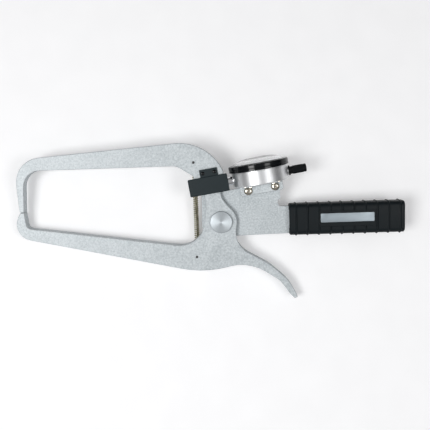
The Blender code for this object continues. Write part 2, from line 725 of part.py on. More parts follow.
def make_hood():
    """A shallow sheet cover over the plunger's tip, with a flap on its left and a screwed tab above."""
    low = ARM_FRONT + SEAT_GAP
    high = GAUGE_LEVEL + STEM_RADIUS + SEAT_GAP + HOOD_SHEET
    corner = (-HOOD_LEFT, PLUNGER_OFFSET - HOOD_HALF_HEIGHT)
    opposite = (HOOD_RIGHT, PLUNGER_OFFSET + HOOD_HALF_HEIGHT)
    shell = slab(rectangle(corner, opposite, HOOD_CORNER), low, high, ARM_BEVEL)
    hood = place("plunger_hood", shell, "black_sheet")
    hood.rotation_euler.z = GAUGE_TILT
    inner_low = (corner[0] + HOOD_SHEET, corner[1] + HOOD_SHEET)
    inner_high = (opposite[0] - HOOD_SHEET, opposite[1] - HOOD_SHEET)
    hollow = slab(rectangle(inner_low, inner_high), low - OVERRUN, high - HOOD_SHEET)
    cut(hood, "hood_cutter", hollow, turn=TILTED)
    middle = -TAB_CENTRE
    seam = opposite[1] - HOOD_SHEET
    tab = rectangle((middle - TAB_WIDTH / 2, seam), (middle + TAB_WIDTH / 2, opposite[1] + TAB_HEIGHT))
    join(hood, "hood_tab", slab(tab, low, low + HOOD_SHEET), turn=TILTED)
    flap = rectangle(corner, (corner[0] + HOOD_SHEET, seam - OVERRUN))
    join(hood, "hood_flap", slab(flap, low - HOOD_FLAP, low + HOOD_SHEET), turn=TILTED)
    stem = rod(STEM_RADIUS + SEAT_GAP, 0, HOOD_RIGHT + OVERRUN, MORE_SIDES)
    cut(hood, "hood_stem_cutter", stem, at=(*along(0, PLUNGER_OFFSET), GAUGE_LEVEL), turn=TILTED @ ALONG_X)
    for index, side in enumerate((-1, 1)):
        x, y = tab_screw_spot(side)
        hole = rod(TAB_SCREW_RADIUS + FIT_GAP, low - OVERRUN, high, FEW_SIDES)
        cut(hood, "hood_tab_cutter", hole, at=(x, y, 0))
        seat = low + HOOD_SHEET + FIT_GAP
        profile = [(TAB_SCREW_RADIUS, ARM_FRONT - TAB_SCREW_DEPTH + SEAT_GAP), (TAB_SCREW_RADIUS, seat)]
        profile += [(TAB_HEAD_RADIUS, seat), (TAB_HEAD_RADIUS, seat + TAB_HEAD_HEIGHT / 2)]
        profile += [(TAB_HEAD_RADIUS / 2, seat + TAB_HEAD_HEIGHT)]
        place(f"hood_screw_{index + 1}", turned(profile, FEW_SIDES), "nickel", at=(x, y, 0))


def tab_screw_spot(side):
    offset = PLUNGER_OFFSET + HOOD_HALF_HEIGHT + TAB_HEIGHT / 2
    return along(side * TAB_SCREW_SPACING / 2 - TAB_CENTRE, offset)


def bracket_screw_offset():
    return PLUNGER_OFFSET - PLUNGER_HEIGHT - SEAT_GAP - BRACKET_SCREW_DROP


def make_bracket():
    """An angle: one leg on the handle plate's face, the other under the gauge's back."""
    seat_top = PLUNGER_OFFSET - PLUNGER_HEIGHT - SEAT_GAP
    low = LAP_REAR + SEAT_GAP
    left, right = BRACKET_CENTRE - BRACKET_LENGTH / 2, BRACKET_CENTRE + BRACKET_LENGTH / 2
    top = seat_top - SEAT_THICKNESS / 2
    foot = seat_top - BRACKET_DROP
    corners = [(left, foot, BRACKET_CORNER), (right, foot, BRACKET_CORNER), (right, top, 0), (left, top, 0)]
    bracket = place("gauge_bracket", slab(rounded(corners), low, low + BRACKET_THICKNESS), "cast_alloy")
    bracket.rotation_euler.z = GAUGE_TILT
    half, wide = SEAT_LENGTH / 2, SEAT_WIDTH / 2
    seat = rectangle((GAUGE_CENTRE - half, seat_top - SEAT_THICKNESS), (GAUGE_CENTRE + half, seat_top))
    join(bracket, "bracket_seat", slab(seat, GAUGE_LEVEL - wide, GAUGE_LEVEL + wide), turn=TILTED)
    for index, side in enumerate((-1, 1)):
        x, y = along(BRACKET_CENTRE + side * BRACKET_SCREW_SPACING / 2, bracket_screw_offset())
        hole = rod(M4_RADIUS + FIT_GAP, low - OVERRUN, low + BRACKET_THICKNESS + OVERRUN, FEW_SIDES)
        cut(bracket, "bracket_cutter", hole, at=(x, y, 0))
        head = low + BRACKET_THICKNESS + FIT_GAP
        profile = [(M4_RADIUS, ARM_BACK), (M4_RADIUS, head), (M4_HEAD_RADIUS, head)]
        profile += [(M4_HEAD_RADIUS * wide, head + M4_HEAD_HEIGHT * high) for wide, high in M4_HEAD_SHARES]
        screw = place(f"bracket_screw_{index + 1}", turned(profile, FEW_SIDES), "nickel", at=(x, y, 0))
        arms = M4_CROSS_LENGTH / 2, M4_CROSS_WIDTH / 2
        for name, (a, b) in (("slot", arms), ("cross", arms[::-1])):
            top = head + M4_HEAD_HEIGHT
            bar = slab(rectangle((-a, -b), (a, b)), top - M4_CROSS_DEPTH, top + OVERRUN)
            cut(screw, f"{name}_cutter", bar, at=(x, y, 0))
        station = GAUGE_CENTRE + side * LUG_SCREW_SPACING / 2
        spot = (*along(station, seat_top), GAUGE_LEVEL + LUG_SCREW_OFFSET)
        lug_hole = rod(LUG_SCREW_RADIUS + FIT_GAP, -OVERRUN, SEAT_THICKNESS + OVERRUN, FEW_SIDES)
        cut(bracket, "lug_cutter", lug_hole, at=spot, turn=TILTED @ ALONG_MINUS_Y)
    return bracket


def grip_section(inset):
    """The grip's section across X, drawn in (across, height) and drawn in by the inset."""
    wide, tall = GRIP_THICKNESS / 2 - inset, GRIP_HALF_HEIGHT - inset
    corners = ((-wide, -tall), (wide, -tall), (wide, tall), (-wide, tall))
    return rounded([(x, y, GRIP_CORNER - inset) for x, y in corners], GRIP_CORNER)


def make_grip():
    """A ribbed sleeve over the tang, with a flat panel in its face for the label."""
    stations = [(0, RIB_HEIGHT + GRIP_END_ROUND), (GRIP_END_ROUND, RIB_HEIGHT)]
    ramp = RIB_WIDTH * RIB_CREST_SHARE / 2
    for rib in range(RIB_COUNT):
        middle = RIB_FIRST + rib * RIB_PITCH
        stations += [(middle - RIB_WIDTH / 2, RIB_HEIGHT), (middle - ramp, 0), (middle + ramp, 0)]
        stations += [(middle + RIB_WIDTH / 2, RIB_HEIGHT)]
    stations += [(GRIP_LENGTH - GRIP_END_ROUND, RIB_HEIGHT), (GRIP_LENGTH, RIB_HEIGHT + GRIP_END_ROUND)]
    centre = (ARM_BACK + LAP_REAR) / 2
    body = stack([(grip_section(inset), station) for station, inset in stations])
    along_x = Matrix(((0, 0, 1), (0, 1, 0), (-1, 0, 0)))
    grip = place("grip_sleeve", body, "black_rubber", at=(GRIP_START, 0, centre), turn=along_x)
    depth = GRIP_LENGTH - TANG_SETBACK + SEAT_GAP
    tall = TANG_HALF_HEIGHT + SEAT_GAP
    socket = rectangle((GRIP_START - OVERRUN, -tall), (GRIP_START + depth, tall))
    cut(grip, "tang_cutter", slab(socket, ARM_BACK - SEAT_GAP, LAP_REAR + SEAT_GAP))
    face = centre + GRIP_THICKNESS / 2
    floor = face - RIB_HEIGHT - PANEL_DEPTH
    left = GRIP_START + PANEL_START
    panel = rectangle((left, -PANEL_HEIGHT / 2), (left + PANEL_LENGTH, PANEL_HEIGHT / 2), PANEL_CORNER)
    cut(grip, "panel_cutter", slab(panel, floor, face + OVERRUN))
    label_left = left + (PANEL_LENGTH - LABEL_LENGTH) / 2
    label_low = LABEL_RISE - LABEL_HEIGHT / 2
    label_high = (label_left + LABEL_LENGTH, label_low + LABEL_HEIGHT)
    label = rectangle((label_left, label_low), label_high, LABEL_CORNER)
    base = floor + SEAT_GAP
    place("label_plate", slab(label, base, base + LABEL_THICKNESS), "label_alloy")


def gauge_frame():
    """The gauge's own frame: X along the plunger, Z out of the dial, origin at the centre of its back."""
    cos, sin = math.cos(GAUGE_TILT), math.sin(GAUGE_TILT)
    x, y = along(GAUGE_CENTRE, PLUNGER_OFFSET - PLUNGER_HEIGHT)
    axes = Matrix(((cos, 0, -sin), (sin, 0, cos), (0, -1, 0))).to_4x4()
    return Matrix.Translation((x, y, GAUGE_LEVEL)) @ axes


def train_centres():
    """Where the rack pinion's arbor and the take-up wheel's arbor stand, and the bearing between them."""
    pitch_radius = RACK_PITCH * PINION_TEETH / math.tau
    across = RACK_FACE + pitch_radius
    spread = TRAIN_MODULE * (WHEEL_TEETH + CENTRE_TEETH) / 2
    away = math.sqrt(spread**2 - across**2)
    return Vector((-away, across, 0)), Vector((away, -across, 0)), math.atan2(across, -away)


def make_case(seat):
    """The case, its back cover and screws, the stem and the rear bush."""
    inner = CASE_RADIUS - CASE_WALL
    shelf = inner - SHELF_WIDTH
    rear = BACK_THICKNESS + SEAT_GAP
    front = PLATE_LEVEL - SEAT_GAP - SHELF_THICKNESS
    rim_inner = DIAL_RING_RADIUS + SEAT_GAP
    top = CASE_HEIGHT + RIM_HEIGHT
    profile = [(inner, 0), (CASE_RADIUS - CASE_ROUND, 0)]
    for share in CASE_ROUND_SHARES:
        angle = share * math.pi / 2
        inset = CASE_ROUND * (1 - math.sin(angle))
        profile.append((CASE_RADIUS - inset, CASE_ROUND * (1 - math.cos(angle))))
    profile += [(CASE_RADIUS, CASE_HEIGHT), (RIM_RADIUS, CASE_HEIGHT), (RIM_RADIUS, top), (rim_inner, top)]
    profile += [(rim_inner, PLATE_LEVEL), (inner, PLATE_LEVEL - SEAT_GAP), (shelf, PLATE_LEVEL - SEAT_GAP)]
    profile += [(shelf, front), (inner, front), (inner, rear + SHELF_THICKNESS)]
    profile += [(shelf, rear + SHELF_THICKNESS), (shelf, rear), (inner, rear)]
    case = place("gauge_case", turned(profile, MANY_SIDES, ring=True), "turned_steel", seat)
    reach = CASE_RADIUS + OVERRUN
    bore = rod(STEM_RADIUS + FIT_GAP, -reach, reach, MORE_SIDES)
    cut(case, "case_bore_cutter", bore, at=(0, 0, PLUNGER_HEIGHT), turn=ALONG_X)
    back = place("case_back", rod(inner - SEAT_GAP, 0, BACK_THICKNESS, MANY_SIDES), "chrome", seat)
    arbor, _, _ = train_centres()
    boss_top = PLUNGER_HEIGHT - PINION_LENGTH / 2 - SEAT_GAP
    boss = rod(ARBOR_BOSS_RADIUS, BACK_THICKNESS / 2, boss_top, FEW_SIDES)
    join(back, "arbor_boss", boss, at=arbor)
    pivot_hole = rod(ARBOR_RADIUS + FIT_GAP, BACK_THICKNESS, boss_top + OVERRUN, FEW_SIDES)
    cut(back, "arbor_boss_cutter", pivot_hole, at=arbor)
    for index, angle in enumerate(BACK_SCREW_ANGLES):
        spot = (BACK_SCREW_CIRCLE * math.cos(angle), BACK_SCREW_CIRCLE * math.sin(angle), 0)
        hole = rod(SMALL_SCREW_RADIUS + FIT_GAP, -OVERRUN, rear + OVERRUN, FEW_SIDES)
        cut(back, "back_screw_cutter", hole, at=spot)
        hole = rod(SMALL_SCREW_RADIUS + FIT_GAP, 0, rear + OVERRUN, FEW_SIDES)
        cut(case, "case_screw_cutter", hole, at=spot)
        head = [(SMALL_HEAD_RADIUS / 2, -FIT_GAP - SMALL_HEAD_HEIGHT)]
        head += [(SMALL_HEAD_RADIUS, -FIT_GAP - SMALL_HEAD_HEIGHT / 2)]
        head += [(SMALL_HEAD_RADIUS, -FIT_GAP), (SMALL_SCREW_RADIUS, -FIT_GAP)]
        head += [(SMALL_SCREW_RADIUS, rear + SHELF_THICKNESS)]
        place(f"back_screw_{index + 1}", turned(head, FEW_SIDES), "nickel", seat, at=spot)
    for index, side in enumerate((-1, 1)):
        spot = (side * LUG_SCREW_SPACING / 2, -LUG_SCREW_OFFSET, 0)
        hole = rod(LUG_SCREW_RADIUS + FIT_GAP, -OVERRUN, BACK_THICKNESS - 2 * FIT_GAP, FEW_SIDES)
        cut(back, "lug_screw_cutter", hole, at=spot)
        seat_low = -(SEAT_GAP + SEAT_THICKNESS + FIT_GAP)
        head = [(LUG_HEAD_RADIUS / 2, seat_low - LUG_HEAD_HEIGHT)]
        head += [(LUG_HEAD_RADIUS, seat_low - LUG_HEAD_HEIGHT / 2)]
        head += [(LUG_HEAD_RADIUS, seat_low), (LUG_SCREW_RADIUS, seat_low)]
        head += [(LUG_SCREW_RADIUS, BACK_THICKNESS - 3 * FIT_GAP)]
        place(f"lug_screw_{index + 1}", turned(head, FEW_SIDES), "nickel", seat, at=spot)
    bore = PLUNGER_RADIUS + FIT_GAP
    stem_start = stem_end_station()
    stem_low = -(inner - STEM_ENGAGEMENT)
    stem = tube(bore, STEM_RADIUS, stem_start, stem_low, MORE_SIDES)
    place("stem", stem, "chrome", seat, at=(0, 0, PLUNGER_HEIGHT), turn=ALONG_X)
    start = inner - STEM_ENGAGEMENT
    step = CASE_RADIUS + SEAT_GAP
    end = start + REAR_BUSH_LENGTH
    profile = [(bore, start), (STEM_RADIUS, start), (STEM_RADIUS, step), (REAR_BUSH_NECK_RADIUS, step)]
    profile += [(REAR_BUSH_NECK_RADIUS, end), (bore, end)]
    bush = turned(profile, MORE_SIDES, ring=True)
    place("rear_bush", bush, "chrome", seat, at=(0, 0, PLUNGER_HEIGHT), turn=ALONG_X)


def stem_end_station():
    """Where the stem ends, in the gauge's frame, just short of the plunger's shoulder."""
    return CONTACT_STATION + SEAT_GAP + CONTACT_LENGTH + FIT_GAP + STEM_SHOW - GAUGE_CENTRE


def make_plunger(seat):
    """The toothed plunger with its contact point and guide pin, and the cap over its rear end."""
    slide = empty("plunger_slide", Matrix.Translation((0, 0, PLUNGER_HEIGHT)), seat)
    start = stem_end_station() - STEM_SHOW
    body = rod(PLUNGER_RADIUS, start, start + PLUNGER_LENGTH, MORE_SIDES, 2 * FIT_GAP)
    plunger = place("plunger", body, "turned_steel", slide, turn=ALONG_X)
    arbor, _, _ = train_centres()
    first = arbor.x - RACK_MARGIN_TEETH * RACK_PITCH
    count = math.ceil(PLUNGER_TRAVEL / RACK_PITCH) + 2 * RACK_MARGIN_TEETH
    outline = [(first - RACK_PITCH / 2, RACK_FACE + ADDENDUM)]
    for tooth in range(count):
        outline += [(first + tooth * RACK_PITCH, RACK_FACE - DEDENDUM)]
        outline += [(first + (tooth + 0.5) * RACK_PITCH, RACK_FACE + ADDENDUM)]
    outline += [(outline[-1][0], PLUNGER_RADIUS + OVERRUN), (outline[0][0], PLUNGER_RADIUS + OVERRUN)]
    cut(plunger, "rack_cutter", slab(outline, -PLUNGER_RADIUS - OVERRUN, PLUNGER_RADIUS + OVERRUN))
    socket_end = start + CONTACT_STUD_LENGTH + SEAT_GAP
    socket = rod(CONTACT_STUD_RADIUS + FIT_GAP, start - OVERRUN, socket_end, FEW_SIDES)
    cut(plunger, "contact_socket_cutter", socket, turn=ALONG_X)
    pin_hole = rod(GUIDE_PIN_RADIUS + FIT_GAP, 0, PLUNGER_RADIUS + OVERRUN, FEW_SIDES)
    cut(plunger, "guide_hole_cutter", pin_hole, at=(GUIDE_PIN_STATION, 0, 0), turn=ALONG_MINUS_Y)
    guide = rod(GUIDE_PIN_RADIUS, FIT_GAP, GUIDE_PIN_LENGTH, FEW_SIDES)
    place("guide_pin", guide, "turned_steel", slide, at=(GUIDE_PIN_STATION, 0, 0), turn=ALONG_MINUS_Y)
    tip = start - FIT_GAP - CONTACT_LENGTH
    profile = [(0, tip)]
    for reach in CONTACT_ARCS:
        profile.append((CONTACT_RADIUS * math.sin(reach), tip + CONTACT_RADIUS * (1 - math.cos(reach))))
    profile += [(CONTACT_RADIUS, tip + CONTACT_RADIUS), (CONTACT_RADIUS, start - FIT_GAP)]
    profile += [(CONTACT_STUD_RADIUS, start - FIT_GAP), (CONTACT_STUD_RADIUS, start + CONTACT_STUD_LENGTH)]
    place("contact_point", turned(profile, FEW_SIDES), "chrome", slide, turn=ALONG_X)
    cap_start = CASE_RADIUS + 2 * SEAT_GAP + FIT_GAP
    cap_end = start + PLUNGER_LENGTH + CAP_TUBE_CLEARANCE + CAP_TUBE_WALL
    bore = REAR_BUSH_NECK_RADIUS + FIT_GAP
    flange_end = cap_start + CAP_TUBE_FLANGE_WIDTH
    profile = [(bore, cap_start), (CAP_TUBE_FLANGE, cap_start), (CAP_TUBE_FLANGE, flange_end)]
    profile += [(CAP_TUBE_RADIUS, flange_end), (CAP_TUBE_RADIUS, cap_end - CAP_CHAMFER)]
    profile += [(CAP_TUBE_RADIUS - CAP_CHAMFER, cap_end), (0, cap_end), (0, cap_end - CAP_TUBE_WALL)]
    profile += [(bore, cap_end - CAP_TUBE_WALL), (bore, cap_start)]
    cap = cup(profile, MORE_SIDES)
    place("plunger_cap", cap, "black_gloss", seat, at=(0, 0, PLUNGER_HEIGHT), turn=ALONG_X)
    return slide


def cup(profile, sides):
    """A turned cup whose profile ends where it began, at the mouth's bore."""
    mesh = bmesh.new()
    rows = []
    for radius, level in profile[:-1]:
        around = [(0, 0)] if radius == 0 else circle(radius, sides)
        rows.append([mesh.verts.new((x, y, level)) for x, y in around])
    for lower, upper in zip(rows, rows[1:] + rows[:1]):
        if len(lower) == len(upper) == 1:
            continue
        for step in range(sides):
            after = (step + 1) % sides
            corners = [lower[step % len(lower)], lower[after % len(lower)], upper[after % len(upper)]]
            corners.append(upper[step % len(upper)])
            mesh.faces.new(list(dict.fromkeys(corners)))
    bmesh.ops.recalc_face_normals(mesh, faces=mesh.faces)
    return mesh


def make_train(seat):
    """The gear train: rack pinion and wheel, centre pinion, take-up wheel, hairspring and plates."""
    drive, takeup, bearing = train_centres()
    pitch_radius = RACK_PITCH * PINION_TEETH / math.tau
    wheel_radius = TRAIN_MODULE * WHEEL_TEETH / 2
    centre_radius = TRAIN_MODULE * CENTRE_TEETH / 2
    low, high = PLUNGER_HEIGHT - PINION_LENGTH / 2, PLUNGER_HEIGHT + PINION_LENGTH / 2
    down = -math.pi / 2

    wheel_axis = empty("wheel_axis", Matrix.Translation(drive), seat)
    pinion = toothed(PINION_TEETH, pitch_radius - DEDENDUM, pitch_radius + ADDENDUM, down)
    arbor = toothed(PINION_TEETH, ARBOR_RADIUS, ARBOR_RADIUS, down)
    foot, head = BACK_THICKNESS + 2 * FIT_GAP, COUNTER_LEVEL + 2 * POINTER_THICKNESS
    body = stack([(arbor, foot), (arbor, low), (pinion, low), (pinion, high), (arbor, high), (arbor, head)])
    place("rack_pinion", body, "turned_steel", wheel_axis)
    wheel_teeth = WHEEL_TEETH, wheel_radius - DEDENDUM, wheel_radius + ADDENDUM
    wheel_outline = toothed(*wheel_teeth, half_tooth(bearing + math.pi))
    wheel_body = slab(wheel_outline, WHEEL_LEVEL, WHEEL_LEVEL + WHEEL_THICKNESS)
    wheel = place("drive_wheel", wheel_body, "brass", wheel_axis)
    open_wheel(wheel, wheel_radius)

    centre_axis = empty("centre_axis", Matrix(), seat)
    pinion = toothed(CENTRE_TEETH, centre_radius - DEDENDUM, centre_radius + ADDENDUM, bearing)
    arbor = toothed(CENTRE_TEETH, ARBOR_RADIUS, ARBOR_RADIUS, bearing)
    low, high = WHEEL_LEVEL - SEAT_GAP, WHEEL_LEVEL + WHEEL_THICKNESS + SEAT_GAP
    foot, head = PLATE_LEVEL + FIT_GAP, POINTER_LEVEL + 2 * POINTER_THICKNESS
    body = stack([(arbor, foot), (arbor, low), (pinion, low), (pinion, high), (arbor, high), (arbor, head)])
    place("centre_pinion", body, "turned_steel", centre_axis)

    takeup_axis = empty("takeup_axis", Matrix.Translation(takeup), seat)
    wheel_outline = toothed(*wheel_teeth, half_tooth(bearing))
    wheel_body = slab(wheel_outline, WHEEL_LEVEL, WHEEL_LEVEL + WHEEL_THICKNESS)
    wheel = place("takeup_wheel", wheel_body, "brass", takeup_axis)
    open_wheel(wheel, wheel_radius)
    body = rod(ARBOR_RADIUS, PLATE_LEVEL + FIT_GAP, BRIDGE_LEVEL + BRIDGE_THICKNESS, FEW_SIDES)
    place("takeup_arbor", body, "turned_steel", takeup_axis)
    place("hairspring", hairspring(), "spring_wire", seat, at=takeup)

    plate_radius = CASE_RADIUS - CASE_WALL - STEM_ENGAGEMENT - SEAT_GAP
    plate_body = rod(plate_radius, PLATE_LEVEL, PLATE_LEVEL + PLATE_THICKNESS, MORE_SIDES)
    plate = place("movement_plate", plate_body, "brass", seat)
    bridge_top = BRIDGE_LEVEL + BRIDGE_THICKNESS
    bridge = place("bridge_plate", rod(BRIDGE_RADIUS, BRIDGE_LEVEL, bridge_top, MORE_SIDES), "brass", seat)
    face_top = DIAL_LEVEL + DIAL_THICKNESS
    face = place("dial_face", rod(DIAL_FACE_RADIUS, DIAL_LEVEL, face_top, MANY_SIDES), "dial_white", seat)
    bore = ARBOR_RADIUS + FIT_GAP
    for name, spot in (("drive", drive), ("centre", Vector()), ("takeup", takeup)):
        cut(plate, f"plate_{name}_cutter", rod(bore, 0, face_top + OVERRUN, FEW_SIDES), at=spot)
        cut(bridge, f"bridge_{name}_cutter", rod(bore, 0, face_top + OVERRUN, FEW_SIDES), at=spot)
    for name, spot in (("drive", drive), ("centre", Vector())):
        cut(face, f"face_{name}_cutter", rod(bore, 0, face_top + OVERRUN, FEW_SIDES), at=spot)
    for index, angle in enumerate(PILLAR_ANGLES):
        low, high = PLATE_LEVEL + PLATE_THICKNESS + FIT_GAP, BRIDGE_LEVEL - FIT_GAP
        spot = (PILLAR_CIRCLE * math.cos(angle), PILLAR_CIRCLE * math.sin(angle), 0)
        pillar = rod(PILLAR_RADIUS, low, high, FEW_SIDES)
        place(f"bridge_pillar_{index + 1}", pillar, "brass", seat, at=spot)
    return wheel_axis, centre_axis


def half_tooth(angle):
    return angle + math.pi / WHEEL_TEETH


def open_wheel(wheel, radius):
    """The wheel's bore and the round windows in its web."""
    low, high = WHEEL_LEVEL - OVERRUN, WHEEL_LEVEL + OVERRUN
    cut(wheel, "wheel_bore_cutter", rod(ARBOR_RADIUS + FIT_GAP, low, high, FEW_SIDES))
    for window in range(WHEEL_WINDOWS):
        angle = math.tau * window / WHEEL_WINDOWS
        spot = (radius / 2 * math.cos(angle), radius / 2 * math.sin(angle), 0)
        cut(wheel, "window_cutter", rod(radius / 4, low, high, FEW_SIDES), at=spot)


def hairspring():
    """A flat spiral ribbon round the take-up arbor."""
    inner, outer = [], []
    steps = HAIRSPRING_TURNS * FEW_SIDES
    for step in range(steps + 1):
        angle = math.tau * step / FEW_SIDES
        radius = HAIRSPRING_INNER + HAIRSPRING_PITCH * step / FEW_SIDES
        inner.append((radius * math.cos(angle), radius * math.sin(angle)))
        radius += HAIRSPRING_THICKNESS
        outer.append((radius * math.cos(angle), radius * math.sin(angle)))
    low = (WHEEL_LEVEL + WHEEL_THICKNESS + BRIDGE_LEVEL - HAIRSPRING_WIDTH) / 2
    mesh = bmesh.new()
    rows = [[mesh.verts.new((x, y, z)) for x, y in side] for side, z in ((inner, low), (outer, low))]
    top = low + HAIRSPRING_WIDTH
    rows += [[mesh.verts.new((x, y, z)) for x, y in side] for side, z in ((outer, top), (inner, top))]
    for step in range(steps):
        for first, second in zip(rows, rows[1:] + rows[:1]):
            mesh.faces.new((first[step], first[step + 1], second[step + 1], second[step]))
    for step in (0, steps):
        mesh.faces.new([row[step] for row in rows])
    bmesh.ops.recalc_face_normals(mesh, faces=mesh.faces)
    return mesh


def make_plunger_spring(seat):
    """The spring that draws the plunger out, from a post to the guide pin, and the pin's slotted guide."""
    start, end = -POST_STATION + POST_RADIUS + SEAT_GAP, GUIDE_PIN_STATION - GUIDE_PIN_RADIUS - SEAT_GAP
    path = coil(end - start, PLUNGER_SPRING_RADIUS, PLUNGER_SPRING_TURNS)
    print(f"plunger_spring: least gap to itself {least_gap(path, 2 * PLUNGER_SPRING_WIRE) * 1000:.2f} mm")
    inset = PLUNGER_SPRING_WIRE
    points = [point + Vector((start, -POST_OFFSET, PLUNGER_HEIGHT)) for point in path]
    points[0].x += inset
    points[-1].x -= inset
    wire("plunger_spring", points, PLUNGER_SPRING_WIRE, "spring_wire", seat)
    post = rod(POST_RADIUS, BACK_THICKNESS + FIT_GAP, PLUNGER_HEIGHT + PLUNGER_RADIUS, FEW_SIDES)
    place("spring_post", post, "turned_steel", seat, at=(-POST_STATION, -POST_OFFSET, 0))
    slot_left = GUIDE_PIN_STATION - PLUNGER_TRAVEL - GUIDE_MARGIN / 2
    slot_right = GUIDE_PIN_STATION + GUIDE_MARGIN / 2
    low, high = BACK_THICKNESS + FIT_GAP, PLATE_LEVEL - SEAT_GAP
    outline = rectangle((slot_left - GUIDE_MARGIN, low), (slot_right + GUIDE_MARGIN, high))
    upright = Matrix(((1, 0, 0), (0, 0, -1), (0, 1, 0)))
    near = GUIDE_PIN_LENGTH - GUIDE_THICKNESS / 2
    body = slab(outline, near, near + GUIDE_THICKNESS)
    guide = place("plunger_guide", body, "brass", seat, turn=upright)
    half = GUIDE_PIN_RADIUS + FIT_GAP
    slot = rectangle((slot_left, PLUNGER_HEIGHT - half), (slot_right, PLUNGER_HEIGHT + half))
    cut(guide, "guide_slot_cutter", slab(slot, near - OVERRUN, near + 2 * OVERRUN), turn=upright)


def make_dial(seat, wheel_axis, centre_axis):
    """The turning bezel with its dial ring and crystal, and the two hands."""
    turn = empty("bezel_axis", Matrix(), seat)
    top = CASE_HEIGHT + SEAT_GAP + BEZEL_HEIGHT
    foot = CASE_HEIGHT + SEAT_GAP
    rim = RIM_RADIUS + SEAT_GAP
    ledge = CASE_HEIGHT + RIM_HEIGHT + SEAT_GAP
    chamfer = BEZEL_CHAMFER
    profile = [(rim, foot), (BEZEL_RADIUS - chamfer / 2, foot), (BEZEL_RADIUS, foot + chamfer / 2)]
    profile += [(BEZEL_RADIUS, top - chamfer), (BEZEL_RADIUS - chamfer, top), (BEZEL_OPENING, top)]
    profile += [(BEZEL_OPENING, ledge), (rim, ledge)]
    place("bezel", turned(profile, MANY_SIDES, ring=True), "black_gloss", turn)
    inner = DIAL_FACE_RADIUS + SEAT_GAP
    low, high = DIAL_LEVEL, DIAL_LEVEL + DIAL_THICKNESS
    lip = DIAL_RING_RADIUS - DIAL_RING_LIP
    profile = [(inner, low), (DIAL_RING_RADIUS, low), (DIAL_RING_RADIUS, ledge), (lip, ledge)]
    profile += [(lip, high), (inner, high)]
    place("dial_ring", turned(profile, MANY_SIDES, ring=True), "dial_white", turn)
    place("crystal", crystal(ledge + SEAT_GAP, top), "crystal_clear", turn)
    pointer_size = POINTER_LENGTH, POINTER_TAIL, POINTER_HUB, POINTER_WIDTH
    hand("main_pointer", centre_axis, POINTER_LEVEL, *pointer_size, math.pi / 2)
    counter_size = COUNTER_LENGTH, COUNTER_TAIL, COUNTER_HUB, COUNTER_WIDTH
    hand("counter_hand", wheel_axis, COUNTER_LEVEL, *counter_size, math.pi / 2)


def crystal(low, bezel_top):
    """A domed lens with an upright rim."""
    radius = BEZEL_OPENING - SEAT_GAP
    peak = bezel_top + CRYSTAL_RISE
    shoulder = low + CRYSTAL_RIM
    outer = [(radius, low), (radius, shoulder)]
    inner = [(radius - CRYSTAL_THICKNESS, low), (radius - CRYSTAL_THICKNESS, shoulder)]
    for share in CRYSTAL_SHARES:
        bend = math.cos(share * math.pi / 2) ** CRYSTAL_SIDE_POWER
        lift = math.sin(share * math.pi / 2) ** CRYSTAL_TOP_POWER
        outer.append((radius * bend, shoulder + (peak - shoulder) * lift))
        inner_lift = (peak - CRYSTAL_THICKNESS - shoulder) * lift
        inner.append(((radius - CRYSTAL_THICKNESS) * bend, shoulder + inner_lift))
    profile = outer + [(0, peak), (0, peak - CRYSTAL_THICKNESS)] + inner[::-1] + outer[:1]
    return cup(profile, MANY_SIDES)


def hand(name, axis, level, length, tail, hub, width, bearing):
    """A hand with a round hub bored for its arbor, a tapering point and a blunt tail."""
    open_angle = math.asin(width / 2 / hub)
    left_side = hub_arc(hub, open_angle, math.pi - open_angle)
    right_side = hub_arc(hub, math.pi + open_angle, math.tau - open_angle)
    outline = [(length, 0), *left_side, (-tail, width / 2), (-tail, -width / 2), *right_side]
    turn = Matrix.Rotation(bearing, 3, "Z")
    obj = place(name, slab(outline, level, level + POINTER_THICKNESS), "pointer_black", axis, turn=turn)
    cut(obj, f"{name}_cutter", rod(ARBOR_RADIUS + FIT_GAP, level - OVERRUN, level + OVERRUN, FEW_SIDES))


def hub_arc(radius, start, end):
    angles = [start + (end - start) * step / HUB_STEPS for step in range(HUB_STEPS + 1)]
    return [(radius * math.cos(angle), radius * math.sin(angle)) for angle in angles]


def make_contact_pin(hinge):
    """The hardened pin in the tongue that the plunger's point follows."""
    standout = PIN_HEAD_STANDOUT
    profile = [(CONTACT_PIN_RADIUS, SEAT_GAP - CONTACT_PIN_LENGTH), (CONTACT_PIN_RADIUS, FIT_GAP)]
    profile += [(CONTACT_HEAD_RADIUS, FIT_GAP), (CONTACT_HEAD_RADIUS, standout - ARM_BEVEL)]
    profile += [(CONTACT_HEAD_RADIUS - ARM_BEVEL, standout)]
    at = (*along(CONTACT_STATION - standout, PLUNGER_OFFSET), GAUGE_LEVEL)
    place("contact_pin", turned(profile, FEW_SIDES), "turned_steel", hinge, at=at, turn=TILTED @ ALONG_X)


def clear_scene():
    for obj in list(bpy.data.objects):
        bpy.data.objects.remove(obj, do_unlink=True)


def main():
    clear_scene()
    hinge = empty("jaw_hinge", Matrix())
    seat = empty("gauge_seat", gauge_frame())
    make_frame()
    make_moving_arm(hinge)
    make_pivot(hinge)
    make_spring_pin("frame_spring_pin", UPPER_PIN_Y, None)
    make_spring_pin("jaw_spring_pin", -LOWER_PIN_Y, hinge)
    make_return_spring()
    make_contact_pin(hinge)
    make_hood()
    make_bracket()
    make_grip()
    make_case(seat)
    make_plunger(seat)
    wheel_axis, centre_axis = make_train(seat)
    make_plunger_spring(seat)
    make_dial(seat, wheel_axis, centre_axis)


main()
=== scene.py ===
"""The look of a dial caliper gauge: hammered silver arms, a ribbed black grip and a dial gauge seen edge on."""

import json
import math

import bmesh
import bpy
from mathutils import Matrix, Vector


